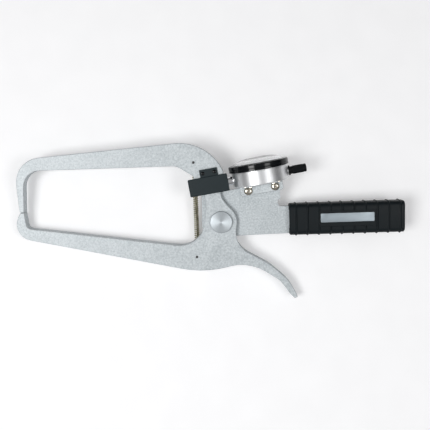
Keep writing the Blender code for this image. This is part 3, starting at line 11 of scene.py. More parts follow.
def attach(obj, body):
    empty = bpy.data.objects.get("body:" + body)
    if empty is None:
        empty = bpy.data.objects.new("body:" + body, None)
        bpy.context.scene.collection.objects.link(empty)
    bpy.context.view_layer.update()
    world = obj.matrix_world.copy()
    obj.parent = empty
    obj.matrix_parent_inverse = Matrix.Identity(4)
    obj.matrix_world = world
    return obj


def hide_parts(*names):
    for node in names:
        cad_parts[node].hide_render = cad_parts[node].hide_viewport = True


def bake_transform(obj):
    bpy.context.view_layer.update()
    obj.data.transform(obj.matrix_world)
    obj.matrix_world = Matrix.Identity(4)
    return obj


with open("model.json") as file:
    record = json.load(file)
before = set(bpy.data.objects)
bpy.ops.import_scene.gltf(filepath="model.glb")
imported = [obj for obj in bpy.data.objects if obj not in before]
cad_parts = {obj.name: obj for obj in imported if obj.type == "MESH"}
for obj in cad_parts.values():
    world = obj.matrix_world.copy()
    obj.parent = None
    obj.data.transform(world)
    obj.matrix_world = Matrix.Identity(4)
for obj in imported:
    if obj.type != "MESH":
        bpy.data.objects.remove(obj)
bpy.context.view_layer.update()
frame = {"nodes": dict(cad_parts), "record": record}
NODES = frame["nodes"]

# Sizes and places in metres, as in the CAD. Hook and dome angles are in degrees, screw turns in radians
ARM_FRONT = -0.0025
ARM_BACK = -0.0125
LAP_REAR = -0.0080
SEAT_GAP = 0.0003
FIT_GAP = 0.0001
OVERRUN = 0.002
SHARP = 32
WIRE_SHARP = 60
CRYSTAL_SHARP = 50
GAUGE_TILT = math.radians(8.5)
PLUNGER_OFFSET = 0.0370
GAUGE_CENTRE = 0.0443
PLUNGER_HEIGHT = 0.0066
GAUGE_LEVEL = -0.00475
SPRING_X = 0.0246
UPPER_PIN_Y = 0.0578
LOWER_PIN_Y = 0.0335
SPRING_LEVEL = -0.01525
SPRING_RADIUS = 0.0020
SPRING_WIRE = 0.00074
SPRING_TURNS = 40
COIL_STEPS = 20
PLUNGER_COIL_START = -0.0170
PLUNGER_COIL_END = 0.0136
PLUNGER_COIL_OFFSET = 0.0050
PLUNGER_COIL_RADIUS = 0.0011
PLUNGER_COIL_WIRE = 0.0004
PLUNGER_COIL_TURNS = 8
HOOK_LENGTH = 0.0064
HOOK_RADIUS = 0.00215
HOOK_OPENING = 125
HOOK_STEP = 12.5
HOOK_POINTS = 24
HOOK_LEAD_SHARES = ((0.25, -1.35), (0, -1.9))
PIVOT_RADIUS = 0.0040
PIVOT_LENGTH = 0.0186
PIVOT_CHAMFER = 0.0004
PIVOT_CAP_RADIUS = 0.0105
PIVOT_CAP_THICKNESS = 0.0022
PIVOT_CAP_ROUND = 0.0005
PIVOT_DIMPLE_RADIUS = 0.0016
PIVOT_DIMPLE_DEPTH = 0.00012
PIN_RADIUS = 0.0012
PIN_TAIL = 0.0048
PIN_TAIL_ROUND = 0.0004
PIN_ROUND = 0.0003
PIN_GROOVE_RADIUS = 0.0010
PIN_GROOVE_HALF_MOUTH = 0.0011
PIN_GROOVE_HALF_FLOOR = 0.0005
PIN_DIMPLE_RADIUS = 0.0005
PIN_DIMPLE_DEPTH = 0.0004
GRIP_START = 0.0656
GRIP_LENGTH = 0.1096
GRIP_HALF_HEIGHT = 0.0161
GRIP_THICKNESS = 0.0185
GRIP_CENTRE = -0.01025
GRIP_CORNER = 0.0055
GRIP_FRONT_ROUND = ((0, 0.0012), (0.0003, 0.0005), (0.0010, 0))
GRIP_REAR_ROUND = ((0.0012, 0), (0.0004, 0.0005), (0, 0.0012))
RIB_FIRST = 0.0061
RIB_PITCH = 0.0110
RIB_COUNT = 10
RIB_HALF_WIDTH = 0.00115
RIB_HEIGHT = 0.0009
RIB_SECTION_SHARES = (-1.0, -0.72, -0.42, 0.0, 0.42, 0.72, 1.0)
RIB_FULLNESS = 0.75
PANEL_START = 0.0280
PANEL_LENGTH = 0.0545
PANEL_HEIGHT = 0.0150
PANEL_DEPTH = 0.0004
PANEL_CORNER = 0.0012
LABEL_MARGIN = 0.0015
LABEL_RISE = 0.0010
LABEL_LENGTH = 0.0508
LABEL_HEIGHT = 0.0086
LABEL_THICKNESS = 0.0006
LABEL_CORNER = 0.0008
LABEL_BEVEL = 0.00012
BRACKET_THICKNESS = 0.0025
BRACKET_SCREW_STATION = 0.0438
BRACKET_SCREW_SPREAD = 0.0130
BRACKET_SCREW_OFFSET = 0.0245
BRACKET_SCREW_TURNS = (0.5, 1.4)
BRACKET_DOME = {"radius": 0.0040, "height": 0.0026, "foot": -0.0074, "shank": 0.0020}
BRACKET_CROSS = (0.0040, 0.0009, 0.0012)
DOME_STEP = 10
DOME_STEPS = 9
DOME_EDGE_SHARE = 0.35
CROSS_CORNER_SHARE = 0.2
HOOD_HALF_HEIGHT = 0.0083
HOOD_SCREW_RISE = 0.00365
HOOD_SCREW_STATION = -0.0033
HOOD_SCREW_SPREAD = 0.0056
HOOD_SCREW_LEVEL = -0.0011
HOOD_SCREW_TURNS = (0.3, 1.3)
HOOD_DOME = {"radius": 0.0018, "height": 0.0009, "foot": -0.0056, "shank": 0.0010}
HOOD_CROSS = (0.0019, 0.00045, 0.0004)
CASE_RADIUS = 0.0265
CASE_BACK_BORE = 0.0245
CASE_BACK_ROUND = 0.0009
CASE_SHOULDER = 0.0136
CASE_NECK_RADIUS = 0.0255
CASE_NECK_TOP = 0.0166
CASE_BORE = 0.0239
CASE_LEDGE = (0.0092, 0.0087)
CASE_ROUND = 0.0003
BACK_RADIUS = 0.0242
BACK_THICKNESS = 0.0016
BACK_FIELD_RADII = (0.0150, 0.0152)
BACK_STEP = 0.0002
BACK_RIM_ROUND = 0.0001
STEM_RADIUS = 0.0040
STEM_BORE = 0.0021
STEM_START = -0.0348
STEM_END = -0.0235
STEM_ROUND = 0.0004
CAP_START = 0.0272
CAP_END = 0.0443
CAP_BORE = 0.0030
CAP_RADIUS = 0.0040
CAP_NECK_RADIUS = 0.0037
CAP_WAIST_RADIUS = 0.0039
CAP_FLANGE_RADIUS = 0.0048
CAP_FLANGE_END = 0.0288
CAP_NECK_END = 0.0312
CAP_KNURL_STATIONS = (0.0314, 0.0345, 0.0378, 0.0410)
CAP_KNURL_DEPTH = 0.00016
CAP_STEP = 0.0002
CAP_END_ROUND = 0.0007
BEZEL_RADIUS = 0.0286
BEZEL_GROOVE_RADIUS = 0.0283
BEZEL_BORE = 0.0258
BEZEL_OPENING = 0.0249
BEZEL_BOTTOM = 0.0139
BEZEL_TOP = 0.0199
BEZEL_LEDGE = 0.0169
BEZEL_GROOVE_LEVELS = (0.0158, 0.0160, 0.0163, 0.0165)
BEZEL_ROUND = 0.0004
BEZEL_TOP_ROUND = 0.0011
CRYSTAL_RADIUS = 0.0246
CRYSTAL_WALL = 0.0011
CRYSTAL_FOOT = 0.0172
CRYSTAL_SHOULDER = 0.0188
CRYSTAL_PEAK = 0.0252
CRYSTAL_STEPS = 16
CRYSTAL_BEND_SHARE = 0.8
CRYSTAL_LIFT_SHARE = 0.9
DIAL_INNER = 0.0163
DIAL_OUTER = 0.0236
DIAL_RIM_INNER = 0.0229
DIAL_FIELD_RADIUS = 0.0228
DIAL_BOTTOM = 0.0142
DIAL_TOP = 0.0147
DIAL_RIM_TOP = 0.0169
DIAL_ROUNDS = (0.0001, 0.0004, 0.0003, 0.0002)
MARK_REACH = 0.0223
MARK_LENGTHS = (0.0024, 0.0019, 0.0013)
MARK_WIDTHS = (0.00028, 0.00016)
MARK_SINK = 0.00005
MARK_RISE = 0.00003
FIGURE_REACH = 0.0182
FIGURE_SIZE = 0.0029
FIGURE_RISE = 0.00001
COUNTER_CENTRE = (-0.01053, 0.00319)
COUNTER_MARK_REACH = 0.0050
COUNTER_MARK_LENGTHS = (0.0009, 0.0005)
COUNTER_MARK_WIDTH = 0.00012
COUNTER_FIGURE_REACH = 0.0033
COUNTER_FIGURE_SIZE = 0.0012

# The studio, in metres, watts and degrees
FLOOR_NORMAL = (0.046, 0.179, 1)
FLOOR_HALF_SPAN = 3
FLOOR_GAP = 0.0004
FLOOR_GLOW = 0.25
SKY_STOPS = (0.0, 0.30, 0.65, 1.0)
SKY_LEVELS = (0.05, 0.09, 0.30, 0.38)
SKY_BLUE = 1.01
KEY_LAMP = ((-0.58, -0.05, 1.13), 0.50, 0.45, 8.3)
RIGHT_LAMP = ((0.74, -0.02, 1.10), 0.45, 0.45, 3.4)
CAMERA_TILT = 7.5
CAMERA_LEAN = 1.7
CAMERA_ROLL = 1.994
CAMERA_DISTANCE = 0.5776
CAMERA_AIM = (-0.00590, 0.00633, -0.0075)
CAMERA_LENS = 50
CAMERA_SENSOR = 36
CAMERA_NEAR = 0.01


def along(station, offset):
    """The point at this station along the plunger's direction and this offset across it from the pivot."""
    cos, sin = math.cos(GAUGE_TILT), math.sin(GAUGE_TILT)
    return (station * cos - offset * sin, station * sin + offset * cos)


def gauge_matrix():
    """The gauge's own frame: X along the plunger, Z out of the dial, from the middle of its back."""
    cos, sin = math.cos(GAUGE_TILT), math.sin(GAUGE_TILT)
    x, y = along(GAUGE_CENTRE, PLUNGER_OFFSET - PLUNGER_HEIGHT)
    axes = Matrix(((cos, 0, -sin), (sin, 0, cos), (0, -1, 0))).to_4x4()
    return Matrix.Translation((x, y, GAUGE_LEVEL)) @ axes


GAUGE = gauge_matrix()
ALONG_X = Matrix.Rotation(math.pi / 2, 4, "Y")
PLUNGER_AXIS = GAUGE @ Matrix.Translation((0, 0, PLUNGER_HEIGHT)) @ ALONG_X


# Finishes


class Finish:
    """A procedural material as it is put together. Its coordinates are the piece's own, in metres."""

    def __init__(self, name, roughness, metallic=0.0, **settings):
        self.material = bpy.data.materials.new(name)
        self.material.use_nodes = True
        self.tree = self.material.node_tree
        self.shader = self.tree.nodes["Principled BSDF"]
        self.set(Roughness=roughness, Metallic=metallic)
        for key, value in settings.items():
            self.shader.inputs[key.replace("_", " ")].default_value = value
        self.coords = self.tree.nodes.new("ShaderNodeTexCoord").outputs["Object"]
        self.height = None

    def set(self, **values):
        for key, value in values.items():
            self.shader.inputs[key.replace("_", " ")].default_value = value

    def node(self, kind, links=(), **values):
        node = self.tree.nodes.new(kind)
        for key, value in values.items():
            setattr(node, key, value)
        for key, value in dict(links).items():
            if isinstance(value, bpy.types.NodeSocket):
                self.tree.links.new(value, node.inputs[key])
            else:
                node.inputs[key].default_value = value
        return node

    def stretched(self, stretch):
        return self.node("ShaderNodeMapping", {"Vector": self.coords, "Scale": stretch}).outputs[0]

    def noise(self, scale, detail=2.0, stretch=None, rough=0.5):
        coords = self.stretched(stretch) if stretch else self.coords
        links = {"Vector": coords, "Scale": scale, "Detail": detail, "Roughness": rough}
        return self.node("ShaderNodeTexNoise", links).outputs[0]

    def cells(self, scale, smooth=0.6):
        links = {"Vector": self.coords, "Scale": scale, "Smoothness": smooth}
        return self.node("ShaderNodeTexVoronoi", links, feature="SMOOTH_F1").outputs["Distance"]

    def math(self, operation, first, second=0.0):
        return self.node("ShaderNodeMath", {0: first, 1: second}, operation=operation).outputs[0]

    def between(self, value, low, high, to_low=0.0, to_high=1.0):
        links = {"Value": value, "From Min": low, "From Max": high, "To Min": to_low, "To Max": to_high}
        return self.node("ShaderNodeMapRange", links).outputs[0]

    def ramp(self, value, stops):
        ramp = self.node("ShaderNodeValToRGB", {"Fac": value})
        points = ramp.color_ramp.elements
        while len(points) < len(stops):
            points.new(0.5)
        for point, (position, colour) in zip(points, stops):
            point.position = position
            point.color = (*colour, 1)
        return ramp.outputs[0]

    def mix(self, share, first, second):
        node = self.node("ShaderNodeMix", data_type="RGBA")
        for index, value in ((0, share), (6, first), (7, second)):
            if isinstance(value, bpy.types.NodeSocket):
                self.tree.links.new(value, node.inputs[index])
            else:
                node.inputs[index].default_value = (*value, 1) if index else value
        return node.outputs[2]

    def radius(self):
        flat = self.node("ShaderNodeMapping", {"Vector": self.coords, "Scale": (1, 1, 0)})
        return self.node("ShaderNodeVectorMath", {0: flat.outputs[0]}, operation="LENGTH").outputs["Value"]

    def edges(self, size):
        """How near a point is to a sharp edge, from 0 to 1, and a normal that rounds the edge."""
        soft = self.node("ShaderNodeBevel", {"Radius": size}, samples=6).outputs[0]
        true = self.node("ShaderNodeNewGeometry").outputs["Normal"]
        same = self.node("ShaderNodeVectorMath", {0: soft, 1: true}, operation="DOT_PRODUCT").outputs["Value"]
        return self.between(same, 0.995, 0.80), soft

    def bump(self, height, distance, strength=1.0, normal=None):
        links = {"Height": height, "Distance": distance, "Strength": strength}
        under = normal or self.height
        if under:
            links["Normal"] = under
        self.height = self.node("ShaderNodeBump", links).outputs[0]
        return self

    def done(self, colour=None, roughness=None):
        for key, value in (("Base Color", colour), ("Roughness", roughness), ("Normal", self.height)):
            if value is not None:
                self.tree.links.new(value, self.shader.inputs[key])
        return self.material


def hammered_paint(name, dark, light, edge, reach=0.0005):
    """Silver paint on a casting: hammered bumps with a fine grain, and a darker edge colour laid along every edge
    in patches as painted shade.
    """
    paint = Finish(name, 0.46, 0.10, Specular_IOR_Level=0.35)
    edge_wear_and_shade, soft = paint.edges(reach)
    grain = paint.noise(620, 3.0, rough=0.65)
    cloud = paint.noise(45, 2.0)
    shade = paint.math("ADD", paint.math("MULTIPLY", grain, 0.8), paint.math("MULTIPLY", cloud, 0.2))
    colour = paint.ramp(shade, ((0.34, dark), (0.64, light)))
    # Painted shade: the edge colour darkens a thin, patchy band along every edge.
    painted_edge_shade = paint.math("MULTIPLY", edge_wear_and_shade, paint.between(paint.noise(300, 2.0), 0.20, 0.60, 0.35, 0.9))
    colour = paint.mix(painted_edge_shade, colour, edge)
    paint.bump(paint.cells(800), 0.00010, 0.45, soft)
    paint.bump(grain, 0.00006, 0.6)
    return paint.done(colour, paint.between(grain, 0.3, 0.7, 0.38, 0.55))


def turned_face(name, colour, dark, pitch, roughness, spread):
    """Steel turned on a lathe: concentric cutter marks that spread the light across them."""
    steel = Finish(name, roughness, 1.0, Anisotropic=0.5, Anisotropic_Rotation=0.25)
    tangent = steel.node("ShaderNodeTangent", direction_type="RADIAL", axis="Z")
    steel.tree.links.new(tangent.outputs[0], steel.shader.inputs["Tangent"])
    radius = steel.radius()
    marks = steel.math("SINE", steel.math("MULTIPLY", radius, math.tau / pitch))
    uneven = steel.noise(900, 2.0)
    level = steel.math("ADD", steel.math("MULTIPLY", marks, 0.12), uneven)
    shade = steel.ramp(level, ((0.3, dark), (0.65, colour)))
    steel.bump(marks, 0.000003, 0.4)
    return steel.done(shade, steel.between(uneven, 0.3, 0.7, roughness - spread / 2, roughness + spread))


def drawn_metal(name, colour, dark, roughness, stretch=(1, 1, 12), grain=900, bump=0.4):
    """Bare or plated metal with fine drawing lines, faint stains and softened edges."""
    metal = Finish(name, roughness, 1.0)
    edge_wear_and_shade, soft = metal.edges(0.00015)
    lines = metal.noise(grain, 4.0, stretch)
    stain = metal.noise(130, 3.0)
    shade = metal.math("ADD", metal.math("MULTIPLY", lines, 0.55), metal.math("MULTIPLY", stain, 0.45))
    tone = metal.ramp(shade, ((0.32, dark), (0.62, colour)))
    metal.bump(lines, 0.000008, bump, soft)
    return metal.done(tone, metal.between(stain, 0.3, 0.7, roughness * 0.8, roughness * 1.3))


def moulded(name, dark, light, roughness, grain, depth, edge, coat=0.0, strength=0.5):
    """Painted sheet, gloss plastic or rubber: a fine skin grain and rubbed edges."""
    skin = Finish(name, roughness, 0.0, Specular_IOR_Level=0.25, Coat_Weight=coat, Coat_Roughness=0.05)
    edge_wear_and_shade, soft = skin.edges(edge)
    fine = skin.noise(grain, 3.0)
    cloud = skin.noise(90, 3.0)
    shade = skin.math("ADD", skin.math("MULTIPLY", fine, 0.5), skin.math("MULTIPLY", cloud, 0.5))
    colour = skin.ramp(shade, ((0.35, dark), (0.65, light)))
    rubbed = tuple(min(1.0, 1.7 * channel + 0.004) for channel in light)
    colour = skin.mix(skin.math("MULTIPLY", edge_wear_and_shade, 0.6), colour, rubbed)
    skin.bump(fine, depth, strength, soft)
    return skin.done(colour, skin.between(cloud, 0.3, 0.7, roughness * 0.88, roughness * 1.15))


def spring_finish():
    """Oiled olive-brass wire with fine lines and faint stains."""
    wire = Finish("spring_wire_finish", 0.24, 1.0)
    lines = wire.noise(1800, 3.0)
    stain = wire.noise(220, 3.0)
    tone = wire.ramp(stain, ((0.32, (0.26, 0.24, 0.16)), (0.62, (0.50, 0.47, 0.36))))
    wire.bump(lines, 0.00001, 0.5)
    return wire.done(tone, wire.between(lines, 0.3, 0.7, 0.20, 0.34))


def enamel_finish():
    """White dial enamel with a faint mottle."""
    enamel = Finish("dial_enamel", 0.42, 0.0, Coat_Weight=0.25, Coat_Roughness=0.12)
    mottle = enamel.noise(900, 3.0)
    tone = enamel.ramp(mottle, ((0.3, (0.84, 0.84, 0.82)), (0.7, (0.90, 0.90, 0.885))))
    enamel.bump(mottle, 0.00001, 0.2)
    return enamel.done(tone, enamel.between(mottle, 0.3, 0.7, 0.38, 0.48))


def crystal_finish():
    """Clear moulded plastic with the faintest ripple and hairline scuffs."""
    clear = Finish("crystal_clear_finish", 0.02, 0.0, IOR=1.33, Transmission_Weight=1.0)
    scuff = clear.noise(260, 5.0, (1, 7, 1), 0.7)
    tone = clear.ramp(scuff, ((0.2, (0.97, 0.98, 0.985)), (0.8, (1.0, 1.0, 1.0))))
    clear.bump(clear.noise(60, 2.0), 0.00001, 0.15)
    shadow = clear.node("ShaderNodeLightPath").outputs["Is Shadow Ray"]
    clear.tree.links.new(clear.between(shadow, 0, 1, 1, 0.08), clear.shader.inputs["Alpha"])
    return clear.done(tone, clear.between(scuff, 0.62, 0.80, 0.015, 0.09))


FINISHES = {
    # The silver paint's third colour is painted shade along its edges.
    "cast_alloy": hammered_paint(
        "hammered_silver", (0.44, 0.485, 0.505), (0.69, 0.735, 0.755), (0.33, 0.36, 0.37)
    ),
    "turned_steel": drawn_metal("satin_steel", (0.66, 0.68, 0.70), (0.46, 0.48, 0.50), 0.28),
    "nickel": drawn_metal("nickel_plate", (0.66, 0.62, 0.54), (0.44, 0.40, 0.33), 0.20, grain=500),
    "chrome": drawn_metal("polished_chrome", (0.86, 0.87, 0.88), (0.74, 0.76, 0.78), 0.13, bump=0.2),
    "bronze": drawn_metal("sintered_bronze", (0.52, 0.35, 0.17), (0.34, 0.21, 0.10), 0.40, (1, 1, 1), 1500),
    "brass": drawn_metal("bright_brass", (0.80, 0.62, 0.30), (0.62, 0.45, 0.19), 0.26),
    "spring_wire": spring_finish(),
    "black_sheet": moulded(
        "painted_sheet", (0.010, 0.019, 0.023), (0.015, 0.026, 0.030), 0.46, 2200, 0.00002, 0.0006
    ),
    "black_gloss": moulded(
        "gloss_black", (0.0015, 0.0025, 0.0035), (0.0035, 0.0050, 0.0065), 0.14, 700, 0.00001, 0.0003, 0.04, 0.2
    ),
    "black_rubber": moulded(
        "moulded_rubber", (0.0016, 0.0044, 0.0062), (0.0032, 0.0078, 0.0102), 0.50, 1100, 0.00006, 0.0005
    ),
    "label_alloy": drawn_metal(
        "brushed_label", (0.40, 0.455, 0.49), (0.32, 0.37, 0.405), 0.45, (1, 40, 1), 160
    ),
    "dial_white": enamel_finish(),
    "crystal_clear": crystal_finish(),
    "pointer_black": moulded(
        "hand_black", (0.006, 0.006, 0.007), (0.014, 0.014, 0.015), 0.34, 1800, 0.00001, 0.0001
    ),
}
# The bracket's paint is a little lighter, and its dark, wider edge colour is painted shade that outlines the leg.
BRACKET = hammered_paint(
    "bracket_paint", (0.48, 0.525, 0.545), (0.73, 0.775, 0.795), (0.20, 0.22, 0.23), 0.0011
)
PIN = drawn_metal("dark_pin_steel", (0.10, 0.10, 0.10), (0.05, 0.05, 0.05), 0.45)
TURNED = turned_face("turned_face", (0.52, 0.56, 0.585), (0.46, 0.50, 0.52), 0.00045, 0.45, 0.10)
SPUN = turned_face("spun_case", (0.87, 0.88, 0.89), (0.82, 0.83, 0.84), 0.0003, 0.46, 0.05)


def dress_nodes():
    """Every CAD piece gets the finish of its slot, and the bracket its own paint."""
    for part in frame["record"]["subparts"]:
        node = NODES[part["node"]]
        node.data.materials.clear()
        node.data.materials.append(FINISHES[part["material_slot"]])
    NODES["gauge_bracket"].data.materials[0] = BRACKET


# Shapes


def rounded(corners, closed=True, widest=math.radians(12)):
    """A path through the corners (x, y, fillet radius), each fillet drawn as an arc."""
    path = []
    last = len(corners) - 1
    for index, (x, y, radius) in enumerate(corners):
        corner = Vector((x, y))
        if radius <= 0 or (not closed and index in (0, last)):
            path.append((x, y))
            continue
        before = (Vector(corners[index - 1][:2]) - corner).normalized()
        after = (Vector(corners[(index + 1) % len(corners)][:2]) - corner).normalized()
        half = before.angle(after) / 2
        turn = math.pi - 2 * half
        centre = corner + (before + after).normalized() * (radius / math.sin(half))
        start = corner + before * (radius / math.tan(half)) - centre
        side = 1 if before.x * after.y - before.y * after.x < 0 else -1
        steps = max(2, math.ceil(turn / widest))
        for step in range(steps + 1):
            spoke = start.copy()
            spoke.rotate(Matrix.Rotation(side * turn * step / steps, 2))
            path.append(tuple(centre + spoke))
    return path


def turned(profile, sides=96, ring=False, knurl=None):
    """A piece turned about Z from (radius, level) points. A knurl (low, high, depth) ripples the radius there."""
    mesh = bmesh.new()
    rows = []
    for radius, level in profile:
        if radius == 0:
            rows.append([mesh.verts.new((0, 0, level))])
            continue
        row = []
        for side in range(sides):
            reach = radius
            if knurl and knurl[0] <= level <= knurl[1] and side % 2:
                reach -= knurl[2]
            angle = math.tau * side / sides
            row.append(mesh.verts.new((reach * math.cos(angle), reach * math.sin(angle), level)))
        rows.append(row)
    for lower, upper in zip(rows, rows[1:] + (rows[:1] if ring else [])):
        if len(lower) == len(upper) == 1:
            continue
        for side in range(sides):
            after = (side + 1) % sides
            corners = [lower[side % len(lower)], lower[after % len(lower)]]
            corners += [upper[after % len(upper)], upper[side % len(upper)]]
            mesh.faces.new(list(dict.fromkeys(corners)))
    if not ring:
        for row in (rows[0], rows[-1]):
            if len(row) > 1:
                mesh.faces.new(row)
    bmesh.ops.recalc_face_normals(mesh, faces=mesh.faces)
    return mesh


def slab(outline, low, high, bevel=0.0):
    """A plate between two levels, with its rims rounded where a bevel is given."""
    mesh = bmesh.new()
    face = mesh.faces.new([mesh.verts.new((x, y, low)) for x, y in outline])
    raised = bmesh.ops.extrude_face_region(mesh, geom=[face])["geom"]
    verts = [item for item in raised if isinstance(item, bmesh.types.BMVert)]
    bmesh.ops.translate(mesh, verts=verts, vec=(0, 0, high - low))
    if bevel:
        rims = [edge for edge in mesh.edges if abs(edge.verts[0].co.z - edge.verts[1].co.z) < bevel / 2]
        bmesh.ops.bevel(mesh, geom=rims, offset=bevel, segments=3, profile=0.5, affect="EDGES")
    bmesh.ops.recalc_face_normals(mesh, faces=mesh.faces)
    return mesh


def box_outline(left, bottom, right, top, radius):
    """A rectangle with rounded corners."""
    corners = ((left, bottom), (right, bottom), (right, top), (left, top))
    return rounded([(x, y, radius) for x, y in corners])


def loft(rows):
    """A closed body through rows of equally many points."""
    mesh = bmesh.new()
    rings = [[mesh.verts.new(point) for point in row] for row in rows]
    for lower, upper in zip(rings, rings[1:]):
        for step in range(len(lower)):
            after = (step + 1) % len(lower)
            mesh.faces.new((lower[step], lower[after], upper[after], upper[step]))
    mesh.faces.new(rings[0])
    mesh.faces.new(rings[-1])
    bmesh.ops.recalc_face_normals(mesh, faces=mesh.faces)
    return mesh


def wire(points, radius, sides=8):
    """A round wire along the points, carried by frames that don't twist."""
    rows = []
    normal = None
    for index, point in enumerate(points):
        ahead = points[min(index + 1, len(points) - 1)] - points[max(index - 1, 0)]
        ahead.normalize()
        if normal is None:
            normal = ahead.orthogonal()
        normal = (normal - ahead * normal.dot(ahead)).normalized()
        across = ahead.cross(normal)
        angles = [math.tau * side / sides for side in range(sides)]
        rows.append([point + (normal * math.cos(a) + across * math.sin(a)) * radius for a in angles])
    return loft(rows)


def carve(mesh, cutter):
    """The mesh less the cutter, through an exact Boolean whose result is read back."""
    target, tool = as_object("carve_target", mesh), as_object("carve_tool", cutter)
    modifier = target.modifiers.new("cut", "BOOLEAN")
    modifier.operation = "DIFFERENCE"
    modifier.solver = "EXACT"
    modifier.object = tool
    bpy.context.view_layer.update()
    result = bmesh.new()
    result.from_object(target, bpy.context.evaluated_depsgraph_get())
    for obj in (target, tool):
        data = obj.data
        bpy.data.objects.remove(obj)
        bpy.data.meshes.remove(data)
    return result


def as_object(name, mesh):
    """An object in the scene that takes the mesh over."""
    data = bpy.data.meshes.new(name)
    mesh.to_mesh(data)
    mesh.free()
    obj = bpy.data.objects.new(name, data)
    bpy.context.scene.collection.objects.link(obj)
    return obj


def piece(name, mesh, finish, body, nodes=(), place=None, sharp=SHARP):
    """A visible piece that rides on the body, or on none where no body is given."""
    obj = as_object(name, mesh)
    obj.data.materials.append(finish if isinstance(finish, bpy.types.Material) else FINISHES[finish])
    obj.matrix_world = place or Matrix()
    obj.data.shade_smooth()
    obj.data.set_sharp_from_angle(angle=math.radians(sharp))
    if body:
        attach(obj, body)
    if nodes:
        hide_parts(*nodes)
    return obj


# The pivot, pins and springs


def dress_pivot():
    """The pivot screw with a lathe-turned cap, whose flat face has a rounded rim and a centre mark."""
    profile = [(0, -PIVOT_LENGTH), (PIVOT_RADIUS - PIVOT_CHAMFER, -PIVOT_LENGTH)]
    profile += [(PIVOT_RADIUS, PIVOT_CHAMFER - PIVOT_LENGTH), (PIVOT_RADIUS, -PIVOT_CAP_THICKNESS)]
    rim = [(PIVOT_RADIUS, -PIVOT_CAP_THICKNESS, 0), (PIVOT_CAP_RADIUS, -PIVOT_CAP_THICKNESS, 0)]
    rim += [(PIVOT_CAP_RADIUS, 0, PIVOT_CAP_ROUND), (PIVOT_DIMPLE_RADIUS, 0, 0)]
    profile += rounded(rim, closed=False)[1:]
    profile += [(PIVOT_DIMPLE_RADIUS / 2, -PIVOT_DIMPLE_DEPTH / 2), (0, -PIVOT_DIMPLE_DEPTH)]
    piece("pivot_cap", turned(profile), TURNED, "frame", ["pivot_screw"])


def dress_spring_pins():
    """The pins that the return spring hooks on, each with a groove for its hook and a centre mark in front."""
    end = ARM_BACK - PIN_TAIL
    corners = [(0, end, 0), (PIN_RADIUS, end, PIN_TAIL_ROUND)]
    corners += [(PIN_RADIUS, SPRING_LEVEL - PIN_GROOVE_HALF_MOUTH, 0)]
    corners += [(PIN_GROOVE_RADIUS, SPRING_LEVEL - PIN_GROOVE_HALF_FLOOR, PIN_ROUND)]
    corners += [(PIN_GROOVE_RADIUS, SPRING_LEVEL + PIN_GROOVE_HALF_FLOOR, PIN_ROUND)]
    corners += [(PIN_RADIUS, SPRING_LEVEL + PIN_GROOVE_HALF_MOUTH, 0), (PIN_RADIUS, ARM_FRONT, PIN_ROUND)]
    corners += [(PIN_DIMPLE_RADIUS, ARM_FRONT, 0), (0, ARM_FRONT - PIN_DIMPLE_DEPTH, 0)]
    profile = rounded(corners, closed=False)
    for name, y, body in (("frame_spring_pin", UPPER_PIN_Y, "frame"), ("jaw_spring_pin", -LOWER_PIN_Y, "jaw")):
        place = Matrix.Translation((-SPRING_X, y, 0))
        piece(name + "_turned", turned(profile, 32), PIN, body, [name], place)


def spring_path():
    """Hook, coil and hook. The coil's ends come in to its axis over half a turn."""
    angles = [math.radians(-HOOK_OPENING - HOOK_STEP * step) for step in range(HOOK_POINTS)]
    hook = [Vector((HOOK_RADIUS * math.cos(a), HOOK_RADIUS * math.sin(a), 0)) for a in angles]
    hook += [Vector((x * HOOK_RADIUS, y * HOOK_RADIUS, 0)) for x, y in HOOK_LEAD_SHARES]
    span = UPPER_PIN_Y + LOWER_PIN_Y
    length = span - 2 * HOOK_LENGTH
    steps = SPRING_TURNS * COIL_STEPS
    body = []
    for step in range(steps + 1):
        share = min(1, 2 * step / COIL_STEPS, 2 * (steps - step) / COIL_STEPS)
        angle = math.tau * step / COIL_STEPS
        reach = SPRING_RADIUS * share
        fall = -HOOK_LENGTH - length * step / steps
        body.append(Vector((reach * math.cos(angle), fall, reach * math.sin(angle))))
    lower = [Vector((-point.x, -span - point.y, 0)) for point in reversed(hook)]
    return [point + Vector((-SPRING_X, UPPER_PIN_Y, SPRING_LEVEL)) for point in hook + body + lower]


def dress_spring():
    """The return spring between the two pins, built at one length; the real one stretches as the jaw opens."""
    mesh = wire(spring_path(), SPRING_WIRE)
    spring = piece("return_coil", mesh, "spring_wire", None, ["return_spring"], sharp=WIRE_SHARP)
    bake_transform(spring)


def dress_plunger_spring():
    """The coil that draws the plunger out, built at one length; the real one shortens as the guide pin comes
    nearer to its post.
    """
    steps = PLUNGER_COIL_TURNS * COIL_STEPS
    points = []
    for step in range(steps + 1):
        station = PLUNGER_COIL_START + (PLUNGER_COIL_END - PLUNGER_COIL_START) * step / steps
        angle = math.tau * step / COIL_STEPS
        across, lift = PLUNGER_COIL_RADIUS * math.cos(angle), PLUNGER_COIL_RADIUS * math.sin(angle)
        points.append(GAUGE @ Vector((station, across - PLUNGER_COIL_OFFSET, PLUNGER_HEIGHT + lift)))
    mesh = wire(points, PLUNGER_COIL_WIRE)
    coil = piece("plunger_coil", mesh, "spring_wire", None, ["plunger_spring"], sharp=WIRE_SHARP)
    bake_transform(coil)


# The grip


def grip_row(inset, level):
    """The sleeve's rounded section at this distance from its front, this much inside its full size."""
    wide, tall, corner = GRIP_THICKNESS / 2 - inset, GRIP_HALF_HEIGHT - inset, GRIP_CORNER - inset
    corners = [(-wide, -tall, corner), (wide, -tall, corner), (wide, tall, corner), (-wide, tall, corner)]
    outline = rounded(corners, widest=math.radians(15))
    return [Vector((GRIP_START + level, y, GRIP_CENTRE + x)) for x, y in outline]


